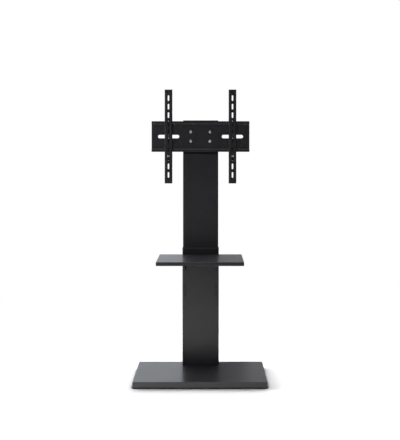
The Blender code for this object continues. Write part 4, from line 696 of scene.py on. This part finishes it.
def hexagon_head(solid, width, low, high, place, direction, bore=0.0, both_ends=False):
    """A hexagon head or nut along an axis, with turned chamfers on its corners."""
    axis = axis_frame(place, direction)
    crown, flare = width / 2 * 0.96, 0.0004

    def flat(turn):
        return hexagon_reach(turn, width)

    def slope(turn):
        return (flat(turn) - crown) * 0.5

    rings = [ring_about(axis, crown, low)] if both_ends else []
    rings += [ring_about(axis, flat, lambda turn: low + slope(turn) * both_ends),
              ring_about(axis, flat, lambda turn: high - slope(turn)), ring_about(axis, crown, high)]
    if not bore:
        rod(solid, rings)
        return
    ends = loft(solid, rings)
    hole = loft(solid, [ring_about(axis, bore + flare, high), ring_about(axis, bore, high - flare),
                        ring_about(axis, bore, low + flare), ring_about(axis, bore + flare, low)])
    loft_between(solid, ends[-1], hole[0])
    loft_between(solid, ends[0], hole[-1])


def washer(solid, outer, inner, low, high, place, direction):
    """A stamped washer: a round plate with a rounded upper edge."""
    edge = min(0.0004, (high - low) / 3)
    turned(solid, [(inner, low), (outer - edge / 2, low), (outer, low + edge / 2), (outer, high - edge),
                   (outer - edge, high), (inner + edge / 2, high), (inner, high - edge / 2), (inner, low)],
           place, direction)


def drilled(centre, width, height=None):
    """The outline of a round hole, or of a slot with round ends."""
    height = height or width
    return oblong(width, height, min(width, height) / 2, centre)


def make_height_clamp():
    low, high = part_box("clamp_bridge")
    bridge = bmesh.new()
    sheet_blank(bridge, [oblong(high.x - low.x, high.z - low.z, 0.005, (0, (low.z + high.z) / 2)),
                         drilled((0, centre_of("height_bolt_upper").z), bolt_hole),
                         drilled((0, centre_of("height_bolt_lower").z), bolt_hole)],
                low.y, high.y, edge=0.0004)
    stood_up(bridge)
    shaped("clamp_bridge_plate", bridge, charcoal_coat, "base", "clamp_bridge")
    for label in ("upper", "lower"):
        tip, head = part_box(f"height_bolt_{label}")
        seat_low, seat_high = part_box(f"height_washer_{label}")
        axis = (0, 0, (tip.z + head.z) / 2), (0, 1, 0)
        ring = bmesh.new()
        washer(ring, 0.012, bolt_hole / 2, seat_low.y, seat_high.y, *axis)
        shaped(f"clamp_washer_{label}", ring, zinc_plate, "base", f"height_washer_{label}")
        bolt = bmesh.new()
        hexagon_head(bolt, 0.013, seat_high.y + 0.0003, head.y, *axis)
        threaded(bolt, 0.004, tip.y, seat_high.y + 0.0006, m8_pitch, *axis)
        shaped(f"clamp_bolt_{label}", bolt, zinc_plate, "base", f"height_bolt_{label}")


make_height_clamp()

# ---------------------------------------------------------------------------------------------
# Rear cover: a snap-on strip of 1.5 mm steel that closes the column's open side. Its foot has a
# notch where the cables leave, and a raised step on its inside centres it between the lips.


def make_rear_cover():
    low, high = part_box("rear_cover")
    half, notch, notch_top, corner = high.x, 0.030, low.z + 0.028, 0.004
    skin = high.y - 0.0015

    def outline(edge_in, top_in):
        return rounded([(-half + edge_in, low.z + top_in), (-notch, low.z + top_in), (-notch, notch_top),
                        (notch, notch_top), (notch, low.z + top_in), (half - edge_in, low.z + top_in),
                        (half - edge_in, high.z - top_in), (-half + edge_in, high.z - top_in)],
                       [corner, 0.001, 0.008, 0.008, 0.001, corner, corner, corner])

    solid = bmesh.new()
    sheet_blank(solid, [outline(0, 0)], skin, high.y, edge=0.0005)
    sheet_blank(solid, [outline(0.004, corner)], low.y, skin + 0.0006, edge=0.0004)
    stood_up(solid)
    shaped("rear_cover_strip", solid, charcoal_coat, "rear_cover", "rear_cover")


make_rear_cover()

# ---------------------------------------------------------------------------------------------
# Mast: a rectangular tube of 2 mm steel. Its rear has the clamp's long slot and a cable hole
# with a rubber grommet, a cover strip runs down its front, and mouldings close its two ends.
head_holes = [drilled(centre_of(f"head_bolt_{number}").xz, 0.0066) for number in range(1, 5)]


def carved(piece, cutter):
    """Cut a closed bmesh out of a finished piece, and keep only the result."""
    mesh = bpy.data.meshes.new("cutter")
    bmesh.ops.recalc_face_normals(cutter, faces=cutter.faces)
    cutter.to_mesh(mesh)
    cutter.free()
    tool = bpy.data.objects.new("cutter", mesh)
    bpy.context.scene.collection.objects.link(tool)
    change = piece.modifiers.new("cut", "BOOLEAN")
    change.operation, change.solver, change.object = "DIFFERENCE", "EXACT", tool
    piece.modifiers.remove(piece.modifiers["even_shading"])
    bpy.context.view_layer.update()
    result = bpy.data.meshes.new_from_object(piece.evaluated_get(bpy.context.evaluated_depsgraph_get()))
    piece.modifiers.remove(change)
    bpy.data.objects.remove(tool, do_unlink=True)
    result.set_sharp_from_angle(angle=math.radians(35))
    piece.data = result
    piece.modifiers.new("even_shading", "WEIGHTED_NORMAL").keep_sharp = True


# Painted shade: the mast tube has the column's charcoal powder coat, made darker and less reflective here.
mast_tube_shaded_coat = coated("mast_tube_coat_painted_shade", (0.0045, 0.0043, 0.0047), (0.10, 0.10, 0.10), 0.48, wear=0.25,
                   smudge=0.06, peel_height=0.000015, ior=1.32)


def make_mast_tube():
    low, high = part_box("mast")
    middle = (0, (low.y + high.y) / 2)
    width, depth, sheet = high.x - low.x, high.y - low.y, 0.002
    solid = bmesh.new()
    walls = [oblong(width, depth, 0.006, middle),
             oblong(width - 2 * sheet, depth - 2 * sheet, 0.005, middle)]
    sheet_blank(solid, walls, low.z, high.z, edge=0.0003)
    tube = shaped("mast_tube", solid, mast_tube_shaded_coat, "mast", "mast")
    travel, past = 0.100, 0.002
    slot_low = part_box("height_bolt_lower")[0].z - travel
    slot_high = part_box("height_bolt_upper")[1].z + travel
    rear = [drilled((0, (slot_low + slot_high) / 2), bolt_hole, slot_high - slot_low),
            drilled((0, centre_of("cable_grommet").z), 0.060, 0.036)]
    cutter = bmesh.new()
    for holes, near, far in ((rear, high.y - 2 * sheet, high.y + past),
                             (head_holes, low.y - past, low.y + 2 * sheet)):
        for hole in holes:
            sheet_blank(cutter, [hole], near, far, edge=0.0001)
    stood_up(cutter)
    carved(tube, cutter)


def make_mast_trim():
    low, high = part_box("mast_front_cover")
    strip = bmesh.new()
    sheet_blank(strip, [oblong(high.x - low.x, high.z - low.z, 0.0012, (0, (low.z + high.z) / 2))],
                low.y, high.y, edge=0.0005)
    stood_up(strip)
    shaped("mast_front_strip", strip, charcoal_coat, "mast", "mast_front_cover")

    low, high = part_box("mast_cap")
    top_low, middle = high.z - 0.003, (0, (low.y + high.y) / 2)
    width, depth, wall, plug_wall = high.x - low.x, high.y - low.y, 0.0023, 0.003
    lid = bmesh.new()
    rings = stepped(lid, width, depth, 0.006, [(0.0003, top_low), (0, top_low + 0.0003)]
                    + round_over(0, high.z, 0.0012, 1), middle)
    lid.faces.new(rings[0][::-1])
    lid.faces.new(rings[-1])
    plug_width, plug_depth = width - 2 * wall, depth - 2 * wall
    sheet_blank(lid, [oblong(plug_width, plug_depth, 0.0048, middle),
                      oblong(plug_width - 2 * plug_wall, plug_depth - 2 * plug_wall, 0.003, middle)],
                low.z, top_low + 0.001, edge=0.0004)
    shaped("mast_cap_moulding", lid, black_plastic, "mast", "mast_cap")
    keep_node("mast_shoe", black_plastic)


def make_grommet():
    low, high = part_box("cable_grommet")
    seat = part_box("mast")[1].y + 0.0003
    profile = [(0.0057, low.y), (0.0037, low.y), (0.002, low.y + 0.0006), (0.002, low.y + 0.0015),
               (0.0043, low.y + 0.002), (0.0043, seat), (0.0004, seat), (0, seat + 0.0005)]
    profile += round_over(0, high.y, 0.0014, 1)
    profile += [(0.0070, high.y), (0.0077, high.y - 0.0007), (0.0079, high.y - 0.003),
                (0.0077, low.y + 0.001)]
    solid = bmesh.new()
    rings = stepped(solid, high.x - low.x, high.z - low.z, 0.022, profile, (0, (low.z + high.z) / 2))
    loft_between(solid, rings[-1], rings[0])
    stood_up(solid)
    shaped("grommet_moulding", solid, black_rubber, "mast", "cable_grommet")


make_mast_tube()
make_mast_trim()
make_grommet()

# ---------------------------------------------------------------------------------------------
# Head bracket: a 4 mm plate bolted to the mast's front by four button-head screws, with two
# ears welded across it. A headed pivot pin with a nut joins the ears to the pan bracket.
pivot_hole = 0.0126


def button_screw(name, node, body, direction, head, rise, key, broach, shank, pitch, depth=0.0006,
                 lap=0.0004):
    """A screw in its node's box. Its button head faces a direction, broached for a hexagon key."""
    low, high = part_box(node)
    direction = Vector(direction)
    reach = abs((high - low).dot(direction))
    seat = (low + high) / 2 + direction * (reach / 2 - rise)
    axis = axis_frame(seat, direction)
    bore, flank = key / 2 * 1.22, 0.22
    dome = [(head / 2, 0.0), (head / 2, rise * flank)]
    dome += [(bore + (head / 2 - bore) * math.cos(math.radians(step)),
              rise * (flank + (1 - flank) * math.sin(math.radians(step)))) for step in (18, 36, 54, 72, 90)]
    rings = [ring_about(axis, out, level) for out, level in dome]
    for level in (rise - (bore - key / 2) * 0.8, rise - broach):
        rings.append(ring_about(axis, lambda turn: hexagon_reach(turn, key), level))
    rings.append(ring_about(axis, key * 0.3, rise - broach - key * 0.08))
    solid = bmesh.new()
    rod(solid, rings)
    threaded(solid, shank, rise - reach, lap, pitch, seat, direction, depth=depth)
    shaped(name, solid, zinc_plate, body, node)


def weld_bead(solid, start, end, size, ripple=0.0024):
    """A fillet weld along a joint: a rippled bead whose root lies inside the joined plates."""
    start, end = Vector(start), Vector(end)
    axis = axis_frame(start, end - start)
    length = (end - start).length
    rows = max(8, round(length / ripple * 4))
    rings = []
    for row in range(rows + 1):
        wave = abs(math.sin(math.pi * length * row / rows / ripple))
        reach = size * (0.90 + 0.14 * wave) * min(1.0, 0.45 + min(row, rows - row) * 0.3)
        rings.append(ring_about(axis, reach, length * row / rows, 12))
    rod(solid, rings)


def ear_outline(root_y, root_width, pivot_y, radius=0.016):
    """An ear's outline from its root to a round nose about the pivot."""
    half, reach = root_width / 2, root_y - pivot_y
    lean = math.atan2(half, reach) - math.asin(radius / math.hypot(half, reach))
    nose = [Vector((radius * math.cos(turn), pivot_y - radius * math.sin(turn)))
            for turn in [lean + (math.pi - 2 * lean) * step / 20 for step in range(21)]]
    return [Vector((half, root_y))] + nose + [Vector((-half, root_y))]


def make_head_bracket():
    low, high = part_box("head_bracket")
    pin_low, pin_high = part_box("pivot_pin")
    pivot_y = (pin_low.y + pin_high.y) / 2
    plate, centre, root, ear_out = 0.004, (low.z + high.z) / 2, 0.080, 0.045
    web_front, bead_end = high.y - plate, root / 2 - 0.001
    solid = bmesh.new()
    sheet_blank(solid, [oblong(high.x - low.x, high.z - low.z, 0.006, (0, centre))] + head_holes,
                web_front, high.y, edge=0.0005)
    stood_up(solid)
    for ear_low in (centre - ear_out, centre + ear_out - plate):
        sheet_blank(solid, [ear_outline(web_front + plate / 2, root, pivot_y),
                            drilled((0, pivot_y), pivot_hole)], ear_low, ear_low + plate, edge=0.0005)
        for level in (ear_low - 0.0002, ear_low + plate + 0.0002):
            weld_bead(solid, (-bead_end, web_front, level), (bead_end, web_front, level), 0.0021)
    shaped("head_bracket_weldment", solid, charcoal_coat, "mast", "head_bracket")
    for number in range(1, 5):
        button_screw(f"head_screw_{number}", f"head_bolt_{number}", "mast", (0, -1, 0), head=0.0105,
                     rise=0.0033, key=0.004, broach=0.002, shank=0.003, pitch=0.001, depth=0.0005)

    axis = (0, pivot_y, 0), (0, 0, 1)
    head_radius, pin_radius, head_low, shank_low = 0.010, 0.006, pin_high.z - 0.005, centre - 0.046
    dome = [(head_radius - inset, level) for inset, level in round_over(0, pin_high.z, 0.0014, 1)[::-1]]
    shank = [(head_radius, head_low), (pin_radius, head_low), (pin_radius, shank_low), (0, shank_low)]
    pin = bmesh.new()
    turned(pin, [(0, pin_high.z)] + dome + shank, *axis)
    threaded(pin, pin_radius, pin_low.z, shank_low + 0.0005, 0.00175, *axis, depth=0.0008)
    shaped("pivot_pin_turning", pin, zinc_plate, "mast", "pivot_pin")
    nut_low, nut_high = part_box("pivot_nut")
    nut = bmesh.new()
    hexagon_head(nut, 0.019, nut_low.z, nut_high.z, *axis, bore=pivot_hole / 2, both_ends=True)
    shaped("pivot_nut_forging", nut, zinc_plate, "mast", "pivot_nut")


make_head_bracket()

# ---------------------------------------------------------------------------------------------
# Pan bracket: one blank of 4 mm steel folded into a U, whose ears turn on the pivot between two
# nylon washers. The cross plate is bolted to its web.
nylon = coated("natural_nylon", (0.70, 0.68, 0.61), (0.80, 0.78, 0.72), 0.45, wear=0.2, mottle=0.05,
               smudge=0.05, peel_scale=500.0, peel_height=0.00004)


def make_pan_bracket():
    low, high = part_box("pan_bracket")
    pivot_y = centre_of("pivot_pin").y
    plate, inner_bend, nose, root_half, wing_half = 0.004, 0.0015, 0.016, 0.035, 0.060
    half = plate / 2
    tip, web = pivot_y + nose, low.y + half
    line, length = fold_line([(tip, low.z + half), (web, low.z + half), (web, high.z - half),
                              (tip, high.z - half)], inner_bend + half)
    wing_low, wing_high = line[2][0] + 0.0006, line[2][0] + line[2][1] - 0.0006
    root = line[1][0]
    lean = math.asin(min(1.0, (root_half - nose) / (root - nose)))

    def nose_arc(centre, start):
        return [Vector((centre + nose * math.cos(start + (math.pi - 2 * lean) * step / 20),
                        nose * math.sin(start + (math.pi - 2 * lean) * step / 20))) for step in range(21)]

    lower_nose = nose_arc(nose, math.pi / 2 + lean)
    upper_nose = nose_arc(length - nose, -math.pi / 2 + lean)
    edge = [(root, -root_half), (wing_low, -root_half), (wing_low, -wing_half),
            (wing_high, -wing_half), (wing_high, -root_half), (length - root, -root_half)]
    outline = lower_nose + edge + upper_nose + [(along, -across) for along, across in edge[::-1]]
    centre = (low.z + high.z) / 2
    holes = [drilled((along, 0), pivot_hole) for along in (nose, length - nose)]
    for side in (-1, 1):
        for rise in (-0.022, 0.022):
            along = on_face(line, 1, centre + rise - low.z - half)
            holes.append(drilled((along, side * 0.045), bolt_hole))
    solid = folded([outline] + holes, half, line, "YZ", edge=0.0004)
    shaped("pan_bracket_folding", solid, charcoal_coat, "pan_head", "pan_bracket")
    for label in ("upper", "lower"):
        seat_low, seat_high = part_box(f"pivot_washer_{label}")
        ring = bmesh.new()
        washer(ring, 0.013, pivot_hole / 2, seat_low.z, seat_high.z, (0, pivot_y, 0), (0, 0, 1))
        shaped(f"pivot_bearing_{label}", ring, nylon, "pan_head", f"pivot_washer_{label}")


make_pan_bracket()

# ---------------------------------------------------------------------------------------------
# Cross plate: a rail of 2.5 mm steel with two long slots, folded forwards into a flange and a
# lip above and below. The arms hook on its upper lip; four M8 button-head screws hold it.


def make_cross_plate():
    low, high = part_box("cross_plate")
    sheet, bend = 0.0025, 0.0015
    half, centre = sheet / 2, (low.z + high.z) / 2
    lip, web = low.y + half, high.y - half
    flange = 0.060 - half
    line, length = fold_line([(lip, low.z), (lip, centre - flange), (web, centre - flange),
                              (web, centre + flange), (lip, centre + flange), (lip, high.z)], bend + half)
    blank = [rounded([(0, low.x), (length, low.x), (length, high.x), (0, high.x)], [0.003] * 4)]
    for number in range(1, 5):
        bolt = centre_of(f"pan_bolt_{number}")
        blank.append(drilled((on_face(line, 2, bolt.z - centre + flange), bolt.x), bolt_hole))
    for side in (-1, 1):
        blank.append(drilled((on_face(line, 2, flange), side * 0.150), 0.016, 0.100))
    solid = folded(blank, half, line, "YZ", edge=0.0004)
    shaped("cross_plate_folding", solid, charcoal_coat, "pan_head", "cross_plate")
    for number in range(1, 5):
        button_screw(f"pan_screw_{number}", f"pan_bolt_{number}", "pan_head", (0, -1, 0), head=0.014,
                     rise=0.0044, key=0.005, broach=0.0026, shank=0.004, pitch=m8_pitch)


make_cross_plate()

# ---------------------------------------------------------------------------------------------
# Mounting arms: channels folded from 2 mm blanks with ten slots each. Hooks cut in their sides
# hang over the cross plate's upper lip, and a fluted plastic thumbscrew locks them below it.


def make_arm(side):
    low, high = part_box(f"arm_{side}")
    screw_low, screw_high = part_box(f"arm_lock_screw_{side}")
    rail_low, rail_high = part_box("cross_plate")
    sheet, bend, half_width = 0.002, 0.0015, (high.x - low.x) / 2
    half, middle = sheet / 2, (low.x + high.x) / 2
    reach, front, left, right = high.y, low.y + half, low.x + half, high.x - half
    line, length = fold_line([(left, reach), (left, front), (right, front), (right, reach)], bend + half)
    side_edge, notch, tooth = 0.0675, 0.0708, 0.0775
    centre, flange, latch = (low.z + high.z) / 2, (rail_low.z + rail_high.z) / 2 + 0.060, 1.015
    lip_top = rail_high.z + 0.0003
    edge = [(side_edge, low.z), (side_edge, latch), (reach, latch), (reach, latch + 0.020),
            (side_edge, latch + 0.020), (side_edge, lip_top), (notch, lip_top), (notch, flange + 0.001),
            (tooth, flange + 0.001), (tooth, lip_top + 0.0177), (side_edge, lip_top + 0.0327),
            (side_edge, high.z)]
    radii = [0.002, 0, 0.003, 0.003, 0, 0, 0, 0.0006, 0.002, 0.003, 0.004, 0.002]
    near = [(reach - depth, level) for depth, level in edge]
    far = [(length - reach + depth, level) for depth, level in edge]
    blank = [rounded(far + near[::-1], radii + radii[::-1])]
    along, slots, slot_pitch = on_face(line, 1, half_width - half), 10, 0.040
    for step in range(slots):
        level = centre + (step - (slots - 1) / 2) * slot_pitch
        blank.append(drilled((along, level), 0.007, 0.026))
    solid = folded(blank, half, line, "XY", edge=0.0003)
    screw_y = (screw_low.y + screw_high.y) / 2
    tab_front, tab_back = low.y + sheet, reach - 0.0004
    sheet_blank(solid, [oblong(2 * half_width - 2 * sheet + 0.0006, tab_back - tab_front, 0.0004,
                               (middle, (tab_front + tab_back) / 2)),
                        drilled((middle, screw_y), 0.0056)], latch, latch + 0.004, edge=0.0003)
    shaped(f"arm_{side}_channel", solid, charcoal_coat, f"arm_{side}", f"arm_{side}")

    head_low, head_high, radius, flute = screw_low.z, screw_low.z + 0.012, 0.007, 0.0006
    axis = (middle, screw_y, 0), (0, 0, 1)

    def fluted(inset, level):
        return ring_about(axis_frame(*axis), lambda turn: radius - inset
                          - flute * (math.cos(12 * turn) > 0.2), level, 96)

    knob = bmesh.new()
    rod(knob, [fluted(0.0012, head_low), fluted(0.0004, head_low + 0.0004), fluted(0, head_low + 0.0012),
               fluted(0, head_high - 0.0012), fluted(0.0004, head_high - 0.0004),
               fluted(0.0012, head_high)])
    threaded(knob, 0.0025, head_high - 0.0005, screw_high.z, 0.0008, *axis, depth=0.0004)
    shaped(f"arm_{side}_thumbscrew", knob, black_plastic, f"arm_{side}",
           f"arm_lock_screw_{side}")


make_arm("left")
make_arm("right")

# ---------------------------------------------------------------------------------------------
# Shelf: a pressed panel of 1.5 mm steel with its rims rolled under, screwed to the flanges of
# two gusset brackets. Their hooks drop into the column's slots, so the shelf lifts off.
gusset_sheet = 0.0025


def make_shelf_panel():
    low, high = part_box("shelf_panel")
    middle = (0, (low.y + high.y) / 2)
    width, depth, sheet, corner = high.x - low.x, high.y - low.y, 0.0015, 0.006
    top_edge, low_edge, rim = 0.003, 0.0024, 0.016
    outside = [(rim, low.z)] + round_over(0, low.z, low_edge, -1, 7)[::-1]
    outside += round_over(0, high.z, top_edge, 1, 7)
    inside = [(rim, low.z + sheet)]
    inside += round_over(sheet, low.z + sheet, low_edge - sheet, -1, 5)[::-1]
    inside += round_over(sheet, high.z - sheet, top_edge - sheet, 1, 4)
    solid = bmesh.new()
    outer = stepped(solid, width, depth, corner, outside, middle, least=0.0012)
    inner = stepped(solid, width, depth, corner, inside, middle, least=0.0012)
    loft_between(solid, outer[0], inner[0])
    solid.faces.new(outer[-1])
    ceiling, seat = high.z - sheet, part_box("shelf_bracket_left")[1].z + 0.0003
    boss = [(0.0045, ceiling), (0.0045, seat + 0.0003), (0.0042, seat), (0.0021, seat),
            (0.0021, ceiling - 0.0002)]
    bosses = []
    for number in range(1, 5):
        screw = centre_of(f"shelf_screw_{number}")
        axis = axis_frame((screw.x, screw.y, 0), (0, 0, 1))
        rings = loft(solid, [ring_about(axis, radius, level, 32) for radius, level in boss])
        solid.faces.new(rings[-1])
        bosses.append(rings[0])
    cap(solid, inner[-1], *bosses)
    panel = shaped("shelf_pressing", solid, charcoal_coat, "shelf", "shelf_panel")
    notches = bmesh.new()
    for side in ("left", "right"):
        near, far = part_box(f"shelf_bracket_{side}")
        gusset_x = far.x - gusset_sheet / 2 if side == "right" else near.x + gusset_sheet / 2
        sheet_blank(notches, [oblong(0.0035, 0.020, 0.0003, (gusset_x, high.y - 0.008))],
                    low.z - 0.002, far.z + 0.0005, edge=0.00005)
    carved(panel, notches)


def make_gusset(side):
    low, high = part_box(f"shelf_bracket_{side}")
    column_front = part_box("lower_column")[0].y
    bend, sign, half = 0.0015, 1 if side == "right" else -1, gusset_sheet / 2
    web_x, flange = 0.0735, 0.01875
    back, nose, inner = column_front - 0.0003, low.y, column_front + 0.002
    line, _ = fold_line([(sign * (web_x - flange), high.z - half), (sign * web_x, high.z - half),
                         (sign * web_x, low.z)], bend + half)
    down = on_face(line, 1, 0)
    fold_low = line[2][0] + 0.0004

    def depth_of(level):
        return down + high.z - half - level

    flange_front, flange_back = nose + 0.004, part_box("shelf_panel")[1].y - 0.020
    tooth_back = inner + 0.0043
    edge = [(0, flange_front), (fold_low, flange_front), (fold_low, nose),
            (depth_of(high.z - 0.010), nose), (depth_of(low.z), back - 0.005), (depth_of(low.z), back)]
    radii = [0.002, 0, 0.001, 0.004, 0.0025, 0.0005]
    for slot in slot_heights[2:]:
        tab_low = slot - 0.0087
        edge += [(depth_of(tab_low), back), (depth_of(tab_low), inner + 0.0003),
                 (depth_of(tab_low - 0.006), inner + 0.0003), (depth_of(tab_low - 0.006), tooth_back),
                 (depth_of(tab_low + 0.010), tooth_back), (depth_of(tab_low + 0.010), back)]
        radii += [0.0004, 0.0004, 0.0008, 0.0008, 0.002, 0.0004]
    edge += [(fold_low, back), (fold_low, flange_back), (0, flange_back)]
    radii += [0.0006, 0, 0.002]
    holes = []
    for number in range(1, 5):
        screw = centre_of(f"shelf_screw_{number}")
        if screw.x * sign > 0:
            holes.append(drilled((screw.x * sign - web_x + flange, screw.y), 0.0046))
    solid = folded([rounded(edge, radii)] + holes, half, line, "XZ", edge=0.0003)
    shaped(f"shelf_gusset_{side}", solid, charcoal_coat, "shelf", f"shelf_bracket_{side}")


make_shelf_panel()
make_gusset("left")
make_gusset("right")
for fixing in range(1, 5):
    button_screw(f"shelf_fixing_{fixing}", f"shelf_screw_{fixing}", "shelf", (0, 0, -1), head=0.008,
                 rise=0.0022, key=0.0028, broach=0.0012, shank=0.002, pitch=0.0007, depth=0.0003,
                 lap=0.0003)
